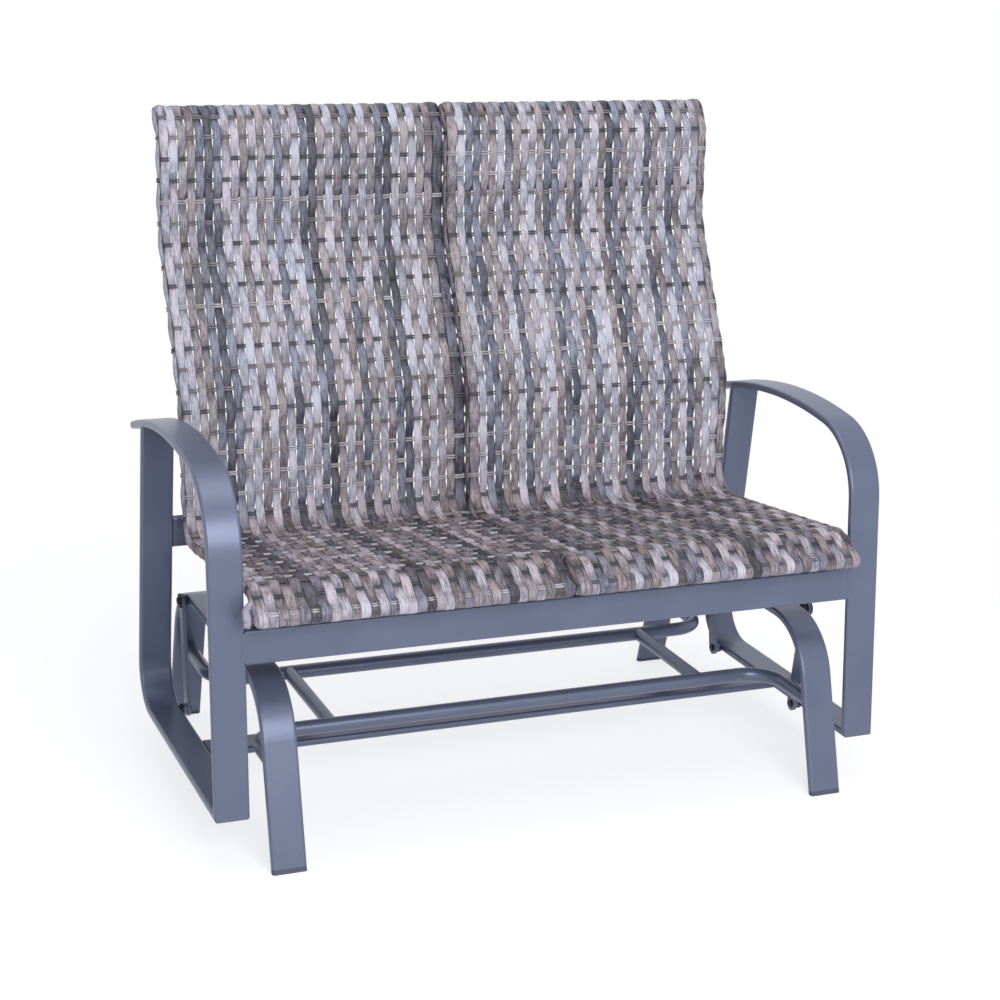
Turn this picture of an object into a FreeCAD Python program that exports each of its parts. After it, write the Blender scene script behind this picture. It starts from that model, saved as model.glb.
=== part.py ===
import FreeCAD, Part
import math
import os
import Sketcher
from FreeCAD import Placement, Rotation, Vector

# High-back double glider bench. Millimetres, +Z up, the sitter faces -Y.
# The origin lies on the floor under the middle of the base.

SIZES = [
    # Flat tube of the visible frame
    ("flat_width", 58.0),
    ("flat_thickness", 13.0),
    ("flat_edge_radius", 5.0),
    # Front leg and arm, one bent piece on each side
    ("overall_half_width", 600.0),
    ("loop_front", -322.0),
    ("loop_bottom", 84.0),
    ("leg_slope", 0.072),
    ("arch_radius", 135.0),
    ("arm_top_y", -32.0),
    ("arm_top_z", 648.0),
    ("crown_radius", 950.0),
    ("arm_end_y", 250.0),
    ("arm_cap_neck", 3.0),
    # Runner and upright, one bent piece on each side
    ("runner_back", 245.5),
    ("runner_bend_radius", 80.0),
    ("upright_slope", 0.13),
    # Rails between the side loops
    ("front_rail_z", 337.0),
    ("rear_rail_z", 384.0),
    ("crossbar_front", -64.5),
    # Base of two inverted U legs, two stretchers and two cross tubes
    ("base_inset", 111.5),
    ("base_foot_y", 361.7),
    ("base_shoulder_y", 281.5),
    ("base_top_z", 292.0),
    ("base_bend_radius", 120.0),
    ("foot_height", 8.0),
    ("foot_plug_height", 24.0),
    ("foot_plug_wall", 2.0),
    ("foot_plug_gap", 0.2),
    ("stretcher_radius", 12.7),
    ("stretcher_y", 131.0),
    ("stretcher_z", 148.0),
    ("stretcher_bend_radius", 60.0),
    ("cross_tube_inset", 140.5),
    ("cross_tube_radius", 12.0),
    ("weld_gap", 0.3),
    # Hanging links and their pivots
    ("upper_pivot_y", 188.0),
    ("lower_pivot_y", 158.0),
    ("link_end_radius", 13.0),
    ("link_thickness", 5.5),
    ("link_boss_radius", 10.0),
    ("link_boss_height", 5.5),
    ("upper_spacer_length", 7.9),
    ("spacer_radius", 10.0),
    ("spacer_bore", 4.3),
    ("side_gap", 0.3),
    ("bush_radius", 7.5),
    ("bush_gap", 0.05),
    ("open_pivot_gap", 2.0),
    ("bolt_radius", 4.0),
    ("bolt_gap", 0.05),
    ("bolt_seat_depth", 24.0),
    ("bolt_head_radius", 6.5),
    ("bolt_head_height", 2.6),
    ("bolt_head_bevel", 0.9),
    ("bolt_hex_radius", 2.9),
    ("bolt_hex_depth", 2.2),
    ("washer_radius", 13.0),
    ("washer_height", 2.5),
    # Woven panels on their tube frames
    ("panel_spacing", 8.0),
    ("panel_side_gap", 11.0),
    ("panel_tube_radius", 9.5),
    ("weave_gap", 0.3),
    ("weave_wrap", 2.5),
    ("weave_thickness", 5.0),
    ("roll_swell", 0.7),
    ("strand_gaps", 32.0),
    ("strand_slit", 1.3),
    ("slit_reach", 1.2),
    ("roll_groove", 1.5),
    ("hip_y", 164.0),
    ("hip_z", 403.0),
    ("hip_radius", 55.0),
    ("seat_run", 458.0),
    ("seat_rise", 51.0),
    ("crest_radius", 50.0),
    ("nose_run", 49.0),
    ("nose_drop", 30.0),
    ("lumbar_run", 18.0),
    ("lumbar_rise", 237.0),
    ("lumbar_radius", 160.0),
    ("back_run", 136.0),
    ("back_rise", 282.0),
    ("back_radius", 140.0),
    ("head_rise", 170.0),
    ("head_radius", 32.0),
    ("top_run", 27.0),
    ("top_rise", 38.0),
    ("brace_radius", 8.0),
    ("brace_drop", 3.0),
    ("low_brace_run", 95.0),
    ("high_brace_rise", 68.0),
    # Brackets and screws under and behind the panels
    ("bracket_width", 22.0),
    ("bracket_plate", 4.0),
    ("front_bracket_z", 349.0),
    ("front_bracket_height", 89.0),
    ("rear_bracket_z", 420.0),
    ("rear_bracket_height", 20.0),
    ("rear_bracket_depth", 10.0),
    ("screw_radius", 3.0),
    ("screw_grip", 8.0),
    ("screw_head_radius", 5.5),
    ("screw_head_height", 2.4),
    ("screw_hex_radius", 2.2),
    ("front_screw_rise", 12.0),
    ("front_screw_spacing", 20.0),
]

doc = FreeCAD.newDocument("glider_bench")
sizes = doc.addObject("Spreadsheet::Sheet", "Sizes")
for row, (alias, number) in enumerate(SIZES, start=1):
    sizes.set(f"A{row}", alias)
    sizes.set(f"B{row}", str(number))
    sizes.setAlias(f"B{row}", alias)
doc.recompute()

ALIASES = {alias for alias, _ in SIZES}
SIDES = (("left", -1), ("right", 1))
ENDS = (("front", -1), ("rear", 1))
nodes = []


def refer(text):
    """Name the sheet in front of each size of an expression."""
    done = ""
    word = ""
    for letter in text + " ":
        if letter.isalnum() or letter == "_":
            word += letter
            continue
        done += ("Sizes." + word if word in ALIASES else word) + letter
        word = ""
    return done.strip()


def value(text):
    """Work out an expression of sizes as a plain number."""
    result = sizes.evalExpression(refer(text))
    return float(getattr(result, "Value", result))


# Lengths that several pieces share
WRAP_RADIUS = "(panel_tube_radius + weave_gap + weave_wrap)"
TUBE_BORE = "(panel_tube_radius + weave_gap)"
INNER_RAIL_X = f"(panel_spacing / 2 + {WRAP_RADIUS})"
PANEL_EDGE_X = "(overall_half_width - flat_width - panel_side_gap)"
OUTER_RAIL_X = f"({PANEL_EDGE_X} - {WRAP_RADIUS})"
PANEL_MIDDLE_X = f"(({PANEL_EDGE_X} + panel_spacing / 2) / 2)"
PANEL_WIDTH = f"({PANEL_EDGE_X} - panel_spacing / 2)"
BASE_X = "(overall_half_width - base_inset)"
FLAT_CENTER_X = "(overall_half_width - flat_width / 2)"
LOOP_EDGE_X = "(overall_half_width - flat_width)"
BASE_EDGE_X = f"({BASE_X} + flat_width / 2)"
CROSS_TUBE_X = f"({BASE_X} - cross_tube_inset)"
LINK_INNER_X = f"({BASE_EDGE_X} + upper_spacer_length + 2 * side_gap)"
LINK_OUTER_X = f"({LINK_INNER_X} + link_thickness)"
BOSS_OUTER_X = f"({LINK_OUTER_X} + link_boss_height)"
UPPER_PIVOT_Z = "(base_top_z - flat_thickness / 2)"
LOWER_PIVOT_Z = "(loop_bottom + flat_thickness / 2)"
BASE_SLOPE = "((base_foot_y - base_shoulder_y) / (base_top_z - foot_height))"
LEG_STRETCH = "sqrt(1 + leg_slope ^ 2)"
UPRIGHT_STRETCH = "sqrt(1 + upright_slope ^ 2)"
UPRIGHT_RISE = "(arm_top_z - flat_thickness - loop_bottom)"
BASE_STRETCH = f"sqrt(1 + {BASE_SLOPE} ^ 2)"
CROWN_CENTER_Z = "(arm_top_z - crown_radius)"
ARM_SINE = "((arm_end_y - arm_top_y) / crown_radius)"


def bind(item, prop, text):
    """Drive a property by an expression of sizes."""
    item.setExpression(prop, refer(text))


def finish(item, label):
    """Keep an object as a node of the assembly."""
    item.Label = label
    nodes.append(item)
    return item


def add_body(label):
    return finish(doc.addObject("PartDesign::Body", label), label)


def add_sketch(body, role, x="0", y="0", z="0", tilt=None):
    """Attach a sketch to an origin plane of its body, moved to a point of the body."""
    plane = next(item for item in body.Origin.OriginFeatures if item.Role == role)
    sketch = body.newObject("Sketcher::SketchObject", body.Label + "_sketch")
    sketch.AttachmentSupport = [(plane, "")]
    sketch.MapMode = "FlatFace"
    offset = {"YZ_Plane": (y, z, x), "XZ_Plane": (x, z, f"-({y})"), "XY_Plane": (x, y, z)}[role]
    if tilt is not None:
        sketch.AttachmentOffset = Placement(Vector(), Rotation(Vector(1, 0, 0), 1))
        bind(sketch, "AttachmentOffset.Rotation.Angle", tilt)
    for axis, text in zip("xyz", offset):
        if text != "0" and text != "-(0)":
            bind(sketch, f"AttachmentOffset.Base.{axis}", text)
    return sketch


def relate(sketch, kind, *places):
    sketch.addConstraint(Sketcher.Constraint(kind, *places))


def measure(sketch, kind, *places):
    """Add a constraint whose last entry is an expression of sizes."""
    index = sketch.addConstraint(Sketcher.Constraint(kind, *places[:-1], value(places[-1])))
    bind(sketch, f"Constraints[{index}]", places[-1])


def pin(sketch, item, place, u, v):
    """Fix a point of the sketch at a pair of expressions."""
    measure(sketch, "DistanceX", -1, 1, item, place, u)
    measure(sketch, "DistanceY", -1, 1, item, place, v)


def add_line(sketch, start, end):
    return sketch.addGeometry(Part.LineSegment(start, end), False)


def add_arc(sketch, center, start, end, leftward):
    """Draw an arc from start to end. Gives its number and the place numbers of both ends."""
    first, last = (math.atan2(p.y - center.y, p.x - center.x) for p in (start, end))
    if not leftward:
        first, last = last, first
    if last < first:
        last += 2 * math.pi
    circle = Part.Circle(center, Vector(0, 0, 1), center.distanceToPoint(start))
    item = sketch.addGeometry(Part.ArcOfCircle(circle, first, last), False)
    return item, (1, 2) if leftward else (2, 1)


def add_circle(sketch, u, v, radius, construction=False):
    """Draw a bound circle. At the sketch origin its centre is joined to it instead."""
    shape = Part.Circle(Vector(value(u), value(v), 0), Vector(0, 0, 1), value(radius))
    item = sketch.addGeometry(shape, construction)
    if (u, v) == ("0", "0"):
        relate(sketch, "Coincident", item, 3, -1, 1)
    else:
        pin(sketch, item, 3, u, v)
    measure(sketch, "Radius", item, radius)
    return item


def add_polygon(sketch, corners):
    """Draw a closed polygon with every corner fixed by a pair of expressions."""
    points = [Vector(value(u), value(v), 0) for u, v in corners]
    lines = [add_line(sketch, a, b) for a, b in zip(points, points[1:] + points[:1])]
    for line, following in zip(lines, lines[1:] + lines[:1]):
        relate(sketch, "Coincident", line, 2, following, 1)
    for line, (u, v) in zip(lines, corners):
        pin(sketch, line, 1, u, v)


def leaning_box(sketch, y, z, slope, height, depth):
    """Draw a rectangle that rises from a corner along a slope and is deep towards +Y."""
    stretch = f"sqrt(1 + ({slope}) ^ 2)"
    rise = (f"({height}) * ({slope}) / {stretch}", f"({height}) / {stretch}")
    back = (f"({depth}) / {stretch}", f"({depth}) * ({slope}) / {stretch}")
    add_polygon(sketch, [
        (y, z),
        (f"{y} + {back[0]}", f"{z} - {back[1]}"),
        (f"{y} + {back[0]} + {rise[0]}", f"{z} - {back[1]} + {rise[1]}"),
        (f"{y} + {rise[0]}", f"{z} + {rise[1]}"),
    ])


def rounded_chain(sketch, points, radii):
    """Draw lines joined by tangent arcs. Gives lines, arcs and arc ends in order."""
    lines, arcs = [], []
    begin = points[0]
    for before, corner, after, radius in zip(points, points[1:], points[2:], radii):
        arrive = (corner - before).normalize()
        leave = (after - corner).normalize()
        turn = arrive.x * leave.y - arrive.y * leave.x
        reach = radius * math.tan(arrive.getAngle(leave) / 2)
        start = corner - arrive * reach
        end = corner + leave * reach
        center = start + Vector(-arrive.y, arrive.x, 0) * math.copysign(radius, turn)
        lines.append(add_line(sketch, begin, start))
        arcs.append(add_arc(sketch, center, start, end, turn > 0))
        begin = end
    lines.append(add_line(sketch, begin, points[-1]))
    for line, following, (arc, ends) in zip(lines, lines[1:], arcs):
        relate(sketch, "Tangent", line, 2, arc, ends[0])
        relate(sketch, "Tangent", arc, ends[1], following, 1)
    return lines, arcs


def fix_corners(sketch, lines, arcs, corners, radii, free_end=False):
    """Bind the corners and bend radii of a chain. A free end only keeps its direction."""
    pin(sketch, lines[0], 1, *corners[0])
    inner = list(zip(corners[1:], lines, lines[1:] + [None]))
    for (u, v), line, following in inner:
        if following is None and not free_end:
            pin(sketch, line, 2, u, v)
            continue
        spot = sketch.addGeometry(Part.Point(Vector(value(u), value(v), 0)), True)
        pin(sketch, spot, 1, u, v)
        relate(sketch, "PointOnObject", spot, 1, line)
        if following is not None:
            relate(sketch, "PointOnObject", spot, 1, following)
    for (arc, _), radius in zip(arcs, radii):
        measure(sketch, "Radius", arc, radius)


def add_path(body, role, corners, radii, **place):
    """Draw the bent centre line of a round tube."""
    sketch = add_sketch(body, role, **place)
    points = [Vector(value(u), value(v), 0) for u, v in corners]
    lines, arcs = rounded_chain(sketch, points, [value(radius) for radius in radii])
    fix_corners(sketch, lines, arcs, corners, radii)
    return sketch


def offset_points(points, distance):
    """Shift a polyline sideways, to the left of its direction when positive."""
    shifted = []
    for a, b in zip(points, points[1:]):
        along = (b - a).normalize()
        side = Vector(-along.y, along.x, 0) * distance
        shifted.append((a + side, b + side))
    result = [shifted[0][0]]
    for (a, b), (c, d) in zip(shifted, shifted[1:]):
        first, second = b - a, d - c
        cross = first.x * second.y - first.y * second.x
        share = ((c.x - a.x) * second.y - (c.y - a.y) * second.x) / cross
        result.append(a + first * share)
    return result + [shifted[-1][1]]


def strip_outline(sketch, corners, radii, inside, free_end=False):
    """Outline a bent flat tube seen on edge. Gives the outer, inner and two end lines."""
    thickness = value("flat_thickness")
    points = [Vector(value(u), value(v), 0) for u, v in corners]
    bends = [value(radius) for radius in radii]
    outer, outer_arcs = rounded_chain(sketch, points, bends)
    fix_corners(sketch, outer, outer_arcs, corners, radii, free_end)
    within = offset_points(points, inside * thickness)
    inner, inner_arcs = rounded_chain(sketch, within, [bend - thickness for bend in bends])
    for line, partner in zip(outer, inner):
        relate(sketch, "Parallel", line, partner)
    for (arc, _), (partner, _) in zip(outer_arcs, inner_arcs):
        relate(sketch, "Coincident", arc, 3, partner, 3)
    measure(sketch, "Distance", inner[0], 1, outer[0], "flat_thickness")
    ends = []
    for place, near, far in ((1, points[0], within[0]), (2, points[-1], within[-1])):
        line = add_line(sketch, near, far)
        index = 0 if place == 1 else -1
        relate(sketch, "Coincident", line, 1, outer[index], place)
        relate(sketch, "Coincident", line, 2, inner[index], place)
        ends.append(line)
    return outer, inner, ends


def symmetric(feature, length):
    feature.Midplane = True
    bind(feature, "Length", length)


def add_pad(body, sketch, length):
    """Pad a sketch equally to both sides by a whole length."""
    pad = body.newObject("PartDesign::Pad", body.Label + "_pad")
    pad.Profile = sketch
    symmetric(pad, length)
    doc.recompute()
    return pad


def add_pocket(body, sketch, length):
    """Cut a sketch equally to both sides by a whole length."""
    pocket = body.newObject("PartDesign::Pocket", body.Label + "_pocket")
    pocket.Profile = sketch
    symmetric(pocket, length)
    doc.recompute()
    return pocket


def add_pipe(body, kind, profile, path):
    pipe = body.newObject(f"PartDesign::{kind}Pipe", body.Label + "_pipe")
    pipe.Profile = profile
    pipe.Spine = (path, [f"Edge{i + 1}" for i in range(len(path.Shape.Edges))])
    doc.recompute()
    return pipe


def round_edges(body, radius, chosen):
    """Round those edges of the last feature that the test picks."""
    base = body.Tip
    names = [f"Edge{i + 1}" for i, edge in enumerate(base.Shape.Edges) if chosen(edge)]
    fillet = body.newObject("PartDesign::Fillet", body.Label + "_fillet")
    fillet.Base = (base, names)
    bind(fillet, "Radius", radius)
    doc.recompute()
    return fillet


def repeat_across(body, feature, spacing, count):
    """Repeat a cut along X at an even spacing."""
    axes = body.Origin.OriginFeatures
    pattern = body.newObject("PartDesign::LinearPattern", body.Label + "_pattern")
    pattern.Originals = [feature]
    pattern.Direction = (next(axis for axis in axes if axis.Role == "X_Axis"), [""])
    bind(pattern, "Length", f"({count} - 1) * {spacing}")
    bind(pattern, "Occurrences", count)
    body.Tip = pattern
    doc.recompute()
    return pattern


def bore(body, x, y, z, radius, length):
    """Drill along X through a point."""
    sketch = add_sketch(body, "YZ_Plane", x=x, y=y, z=z)
    add_circle(sketch, "0", "0", radius)
    return add_pocket(body, sketch, length)


def lengthwise(edge):
    """Tell the long edges of a flat tube from those of its ends."""
    return edge.Length > 25 and abs(edge.tangentAt(edge.FirstParameter).x) < 0.5


def crosswise(edge):
    return abs(edge.tangentAt(edge.FirstParameter).x) > 0.9


# Base legs: inverted U of flat tube, plugged and capped at the feet
def foot_profile(sketch, way, low, high, inset):
    """Draw the part of a leg between two heights, drawn in from both faces."""
    corners = []
    for height in (low, high):
        outer = f"base_foot_y - {BASE_SLOPE} * ({height} - foot_height) - ({inset}) * {BASE_STRETCH}"
        inner = f"{outer} - (flat_thickness - 2 * ({inset})) * {BASE_STRETCH}"
        pair = [(f"{way} * ({outer})", height), (f"{way} * ({inner})", height)]
        corners += pair if height == low else pair[::-1]
    add_polygon(sketch, corners)


for side, sign in SIDES:
    leg = add_body(f"base_leg_frame_{side}")
    sketch = add_sketch(leg, "YZ_Plane", x=f"{sign} * {BASE_X}")
    outer, inner, ends = strip_outline(sketch, [
        ("-base_foot_y", "foot_height"),
        ("-base_shoulder_y", "base_top_z"),
        ("base_shoulder_y", "base_top_z"),
        ("base_foot_y", "foot_height"),
    ], ["base_bend_radius", "base_bend_radius"], inside=-1)
    for end in ends:
        relate(sketch, "Horizontal", end)
    add_pad(leg, sketch, "flat_width")
    round_edges(leg, "flat_edge_radius", lengthwise)
    for end, way in ENDS:
        sketch = add_sketch(leg, "YZ_Plane", x=f"{sign} * {BASE_X}")
        foot_profile(sketch, way, "foot_height", "(foot_height + foot_plug_height + foot_plug_gap)",
                     "foot_plug_wall")
        add_pocket(leg, sketch, "flat_width - 2 * foot_plug_wall")
        bore(leg, f"{sign} * {BASE_EDGE_X}", f"{way} * upper_pivot_y", UPPER_PIVOT_Z,
             "bolt_radius + bolt_gap", "2 * bolt_seat_depth + 2 * side_gap")

        glide = add_body(f"foot_glide_{end}_{side}")
        sketch = add_sketch(glide, "YZ_Plane", x=f"{sign} * {BASE_X}")
        foot_profile(sketch, way, "0", "foot_height", "0")
        add_pad(glide, sketch, "flat_width")
        round_edges(glide, "flat_edge_radius", lambda edge: not crosswise(edge) and edge.BoundBox.ZLength > 1)
        sketch = add_sketch(glide, "YZ_Plane", x=f"{sign} * {BASE_X}")
        foot_profile(sketch, way, "foot_height", "(foot_height + foot_plug_height)",
                     "foot_plug_wall + foot_plug_gap")
        add_pad(glide, sketch, "flat_width - 2 * foot_plug_wall - 2 * foot_plug_gap")

# Stretchers: round tube bent towards the legs at both ends and cut to their lean
for end, way in ENDS:
    stretcher = add_body(f"{end}_stretcher")
    path = add_path(stretcher, "XY_Plane", [
        (f"-{BASE_X}", f"{way} * base_foot_y"),
        (f"-{BASE_X}", f"{way} * stretcher_y"),
        (BASE_X, f"{way} * stretcher_y"),
        (BASE_X, f"{way} * base_foot_y"),
    ], ["stretcher_bend_radius", "stretcher_bend_radius"], z="stretcher_z")
    profile = add_sketch(stretcher, "XZ_Plane", x=f"-{BASE_X}", y=f"{way} * base_foot_y",
                         z="stretcher_z")
    add_circle(profile, "0", "0", "stretcher_radius")
    doc.recompute()
    add_pipe(stretcher, "Additive", profile, path)
    sketch = add_sketch(stretcher, "YZ_Plane")
    corners = []
    for height in ("(stretcher_z - 2 * stretcher_radius)", "(stretcher_z + 2 * stretcher_radius)"):
        face = (f"{way} * (base_foot_y - {BASE_SLOPE} * ({height} - foot_height)"
                f" - flat_thickness * {BASE_STRETCH})")
        pair = [(face, height), (f"{way} * 2 * base_foot_y", height)]
        corners += pair if not corners else pair[::-1]
    add_polygon(sketch, corners)
    add_pocket(stretcher, sketch, f"4 * {BASE_X}")

for side, sign in SIDES:
    tube = add_body(f"cross_tube_{side}")
    sketch = add_sketch(tube, "XZ_Plane", x=f"{sign} * {CROSS_TUBE_X}", z="stretcher_z")
    add_circle(sketch, "0", "0", "cross_tube_radius")
    add_pad(tube, sketch, "2 * stretcher_y")
    for end, way in ENDS:
        bore(tube, f"{sign} * {CROSS_TUBE_X}", f"{way} * stretcher_y", "stretcher_z",
             "stretcher_radius + weld_gap", "4 * cross_tube_radius")

# Side loops of the seat
for side, sign in SIDES:
    arm = add_body(f"arm_{side}")
    sketch = add_sketch(arm, "YZ_Plane", x=f"{sign} * {FLAT_CENTER_X}")
    thick = value("flat_thickness")
    crown = Vector(value("arm_top_y"), value(CROWN_CENTER_Z), 0)
    toe = Vector(value("loop_front"), value("loop_bottom"), 0)
    slope = value("leg_slope")
    into = Vector(1, -slope, 0).normalize()
    arch = Vector(0, 0, 0)
    for _ in range(30):
        arch.x = toe.x + slope * (arch.y - toe.y) + value("arch_radius") * value(LEG_STRETCH)
        gap = value("crown_radius - arch_radius")
        arch.y = crown.y + math.sqrt(gap ** 2 - (arch.x - crown.x) ** 2)
    outward = (arch - crown).normalize()
    rear = Vector(value(ARM_SINE), math.sqrt(1 - value(ARM_SINE) ** 2), 0)
    faces = []
    for inset in (0, thick):
        bend = value("arch_radius") - inset
        knee = arch - into * bend
        crest = arch + outward * bend
        tail = crown + rear * (value("crown_radius") - inset)
        leg_line = add_line(sketch, toe + into * inset, knee)
        arch_arc, arch_ends = add_arc(sketch, arch, knee, crest, False)
        crown_arc, crown_ends = add_arc(sketch, crown, crest, tail, False)
        relate(sketch, "Tangent", leg_line, 2, arch_arc, arch_ends[0])
        relate(sketch, "Tangent", arch_arc, arch_ends[1], crown_arc, crown_ends[0])
        faces.append((leg_line, arch_arc, crown_arc, crown_ends[1], tail))
    (leg, bow, top, top_end, tail), (leg_in, bow_in, top_in, top_in_end, tail_in) = faces
    toe_line = add_line(sketch, toe, toe + into * thick)
    tail_line = add_line(sketch, tail, tail_in)
    relate(sketch, "Coincident", toe_line, 1, leg, 1)
    relate(sketch, "Coincident", toe_line, 2, leg_in, 1)
    relate(sketch, "Coincident", tail_line, 1, top, top_end)
    relate(sketch, "Coincident", tail_line, 2, top_in, top_in_end)
    pin(sketch, leg, 1, "loop_front", "loop_bottom")
    pin(sketch, top, 3, "arm_top_y", CROWN_CENTER_Z)
    relate(sketch, "Coincident", top, 3, top_in, 3)
    relate(sketch, "Coincident", bow, 3, bow_in, 3)
    measure(sketch, "Radius", top, "crown_radius")
    measure(sketch, "Radius", bow, "arch_radius")
    measure(sketch, "Radius", bow_in, "arch_radius - flat_thickness")
    measure(sketch, "DistanceX", -1, 1, top, top_end, "arm_end_y")
    relate(sketch, "PointOnObject", top, 3, tail_line)
    spot = sketch.addGeometry(Part.Point(toe + Vector(slope, 1, 0) * value("arch_radius")), True)
    pin(sketch, spot, 1, "loop_front + leg_slope * arch_radius", "loop_bottom + arch_radius")
    relate(sketch, "PointOnObject", spot, 1, leg)
    relate(sketch, "Parallel", leg, leg_in)
    measure(sketch, "DistanceY", -1, 1, leg_in, 1, "loop_bottom + flat_thickness")
    add_pad(arm, sketch, "flat_width")
    round_edges(arm, "flat_edge_radius", lengthwise)

    cap = add_body(f"arm_end_cap_{side}")
    middle = "(crown_radius - flat_thickness / 2)"
    sketch = add_sketch(cap, "XY_Plane", x=f"{sign} * {FLAT_CENTER_X}",
                        y=f"arm_top_y + {middle} * {ARM_SINE}",
                        z=f"{CROWN_CENTER_Z} + {middle} * sqrt(1 - {ARM_SINE} ^ 2)",
                        tilt=f"-asin({ARM_SINE})")
    half, neck = value("flat_width / 2"), value("arm_cap_neck")
    base_line = add_line(sketch, Vector(-half, 0, 0), Vector(half, 0, 0))
    right_line = add_line(sketch, Vector(half, 0, 0), Vector(half, neck, 0))
    tip, tip_ends = add_arc(sketch, Vector(0, neck, 0), Vector(half, neck, 0), Vector(-half, neck, 0), True)
    left_line = add_line(sketch, Vector(-half, neck, 0), Vector(-half, 0, 0))
    relate(sketch, "Coincident", base_line, 2, right_line, 1)
    relate(sketch, "Coincident", left_line, 2, base_line, 1)
    relate(sketch, "Tangent", right_line, 2, tip, tip_ends[0])
    relate(sketch, "Tangent", tip, tip_ends[1], left_line, 1)
    relate(sketch, "Horizontal", base_line)
    relate(sketch, "Vertical", left_line)
    relate(sketch, "PointOnObject", base_line, 1, -1)
    relate(sketch, "PointOnObject", tip, 3, -2)
    measure(sketch, "Radius", tip, "flat_width / 2")
    measure(sketch, "DistanceY", -1, 1, tip, 3, "arm_cap_neck")
    add_pad(cap, sketch, "flat_thickness")
    ahead = Vector(0, math.cos(math.asin(value(ARM_SINE))), -value(ARM_SINE))
    up = Vector(0, value(ARM_SINE), math.cos(math.asin(value(ARM_SINE))))
    heights = [edge.CenterOfMass.dot(up) for edge in cap.Shape.Edges]
    level = (min(heights) + max(heights)) / 2
    near = min(edge.CenterOfMass.dot(ahead) for edge in cap.Shape.Edges)
    round_edges(cap, "flat_edge_radius - 0.2", lambda edge: (
        abs(edge.CenterOfMass.dot(up) - level) > 1 and edge.CenterOfMass.dot(ahead) > near + 0.5))

    runner = add_body(f"runner_{side}")
    sketch = add_sketch(runner, "YZ_Plane", x=f"{sign} * {FLAT_CENTER_X}")
    outer, inner, ends = strip_outline(sketch, [
        ("loop_front", "loop_bottom"),
        ("runner_back", "loop_bottom"),
        (f"runner_back - upright_slope * {UPRIGHT_RISE}", f"loop_bottom + {UPRIGHT_RISE}"),
    ], ["runner_bend_radius"], inside=1, free_end=True)
    seat_of_arm = add_circle(sketch, "arm_top_y", CROWN_CENTER_Z,
                             "crown_radius - flat_thickness - weld_gap", construction=True)
    relate(sketch, "PointOnObject", outer[-1], 2, seat_of_arm)
    relate(sketch, "PointOnObject", inner[-1], 2, seat_of_arm)
    measure(sketch, "DistanceX", -1, 1, inner[0], 1,
            f"loop_front + flat_thickness * (leg_slope + {LEG_STRETCH})")
    add_pad(runner, sketch, "flat_width")
    round_edges(runner, "flat_edge_radius", lengthwise)
    for end, way in ENDS:
        bore(runner, f"{sign} * {LOOP_EDGE_X}", f"{way} * lower_pivot_y", LOWER_PIVOT_Z,
             "bolt_radius + bolt_gap", "2 * bolt_seat_depth + 2 * side_gap")

# Rails between the side loops, each a flat tube
RAIL_LENGTH = f"2 * {LOOP_EDGE_X}"
FRONT_RAIL_Y = "(loop_front + leg_slope * (front_rail_z - loop_bottom))"
REAR_RAIL_Y = (f"(runner_back - upright_slope * (rear_rail_z - loop_bottom)"
               f" - flat_thickness * {UPRIGHT_STRETCH})")
RAILS = (
    ("front_rail", FRONT_RAIL_Y, "front_rail_z", "leg_slope", "flat_width", "flat_thickness"),
    ("rear_rail", REAR_RAIL_Y, "rear_rail_z", "-upright_slope", "flat_width", "flat_thickness"),
    ("lower_crossbar", "crossbar_front", "loop_bottom", "0", "flat_thickness", "flat_width"),
)
rails = {}
for label, y, z, slope, height, depth in RAILS:
    rail = add_body(label)
    sketch = add_sketch(rail, "YZ_Plane")
    leaning_box(sketch, y, z, slope, height, depth)
    add_pad(rail, sketch, RAIL_LENGTH)
    round_edges(rail, "flat_edge_radius", crosswise)
    rails[label] = rail

# Links that hang the seat from the base
for end, way in ENDS:
    for side, sign in SIDES:
        link = add_body(f"link_{end}_{side}")
        sketch = add_sketch(link, "YZ_Plane", x=f"{sign} * ({LINK_INNER_X} + link_thickness / 2)")
        top_place = (f"{way} * upper_pivot_y", UPPER_PIVOT_Z)
        low_place = (f"{way} * lower_pivot_y", LOWER_PIVOT_Z)
        top, low = (Vector(value(u), value(v), 0) for u, v in (top_place, low_place))
        side_step = (top - low).normalize()
        side_step = Vector(side_step.y, -side_step.x, 0) * value("link_end_radius")
        first = add_line(sketch, low + side_step, top + side_step)
        round_top, top_ends = add_arc(sketch, top, top + side_step, top - side_step, True)
        second = add_line(sketch, top - side_step, low - side_step)
        round_low, low_ends = add_arc(sketch, low, low - side_step, low + side_step, True)
        relate(sketch, "Tangent", first, 2, round_top, top_ends[0])
        relate(sketch, "Tangent", round_top, top_ends[1], second, 1)
        relate(sketch, "Tangent", second, 2, round_low, low_ends[0])
        relate(sketch, "Tangent", round_low, low_ends[1], first, 1)
        pin(sketch, round_top, 3, *top_place)
        pin(sketch, round_low, 3, *low_place)
        measure(sketch, "Radius", round_top, "link_end_radius")
        add_pad(link, sketch, "link_thickness")
        sketch = add_sketch(link, "YZ_Plane", x=f"{sign} * ({LINK_INNER_X} + {BOSS_OUTER_X}) / 2",
                            y=low_place[0], z=low_place[1])
        add_circle(sketch, "0", "0", "link_boss_radius")
        add_pad(link, sketch, "link_thickness + link_boss_height")
        for place in (top_place, low_place):
            bore(link, f"{sign} * {LINK_OUTER_X}", *place, "bush_radius + bush_gap",
                 "4 * (link_thickness + link_boss_height)")


def add_cylinder(name, radius, height, shift="0"):
    item = doc.addObject("Part::Cylinder", name)
    bind(item, "Radius", radius)
    bind(item, "Height", height)
    if shift != "0":
        bind(item, "Placement.Base.z", shift)
    return item


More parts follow.
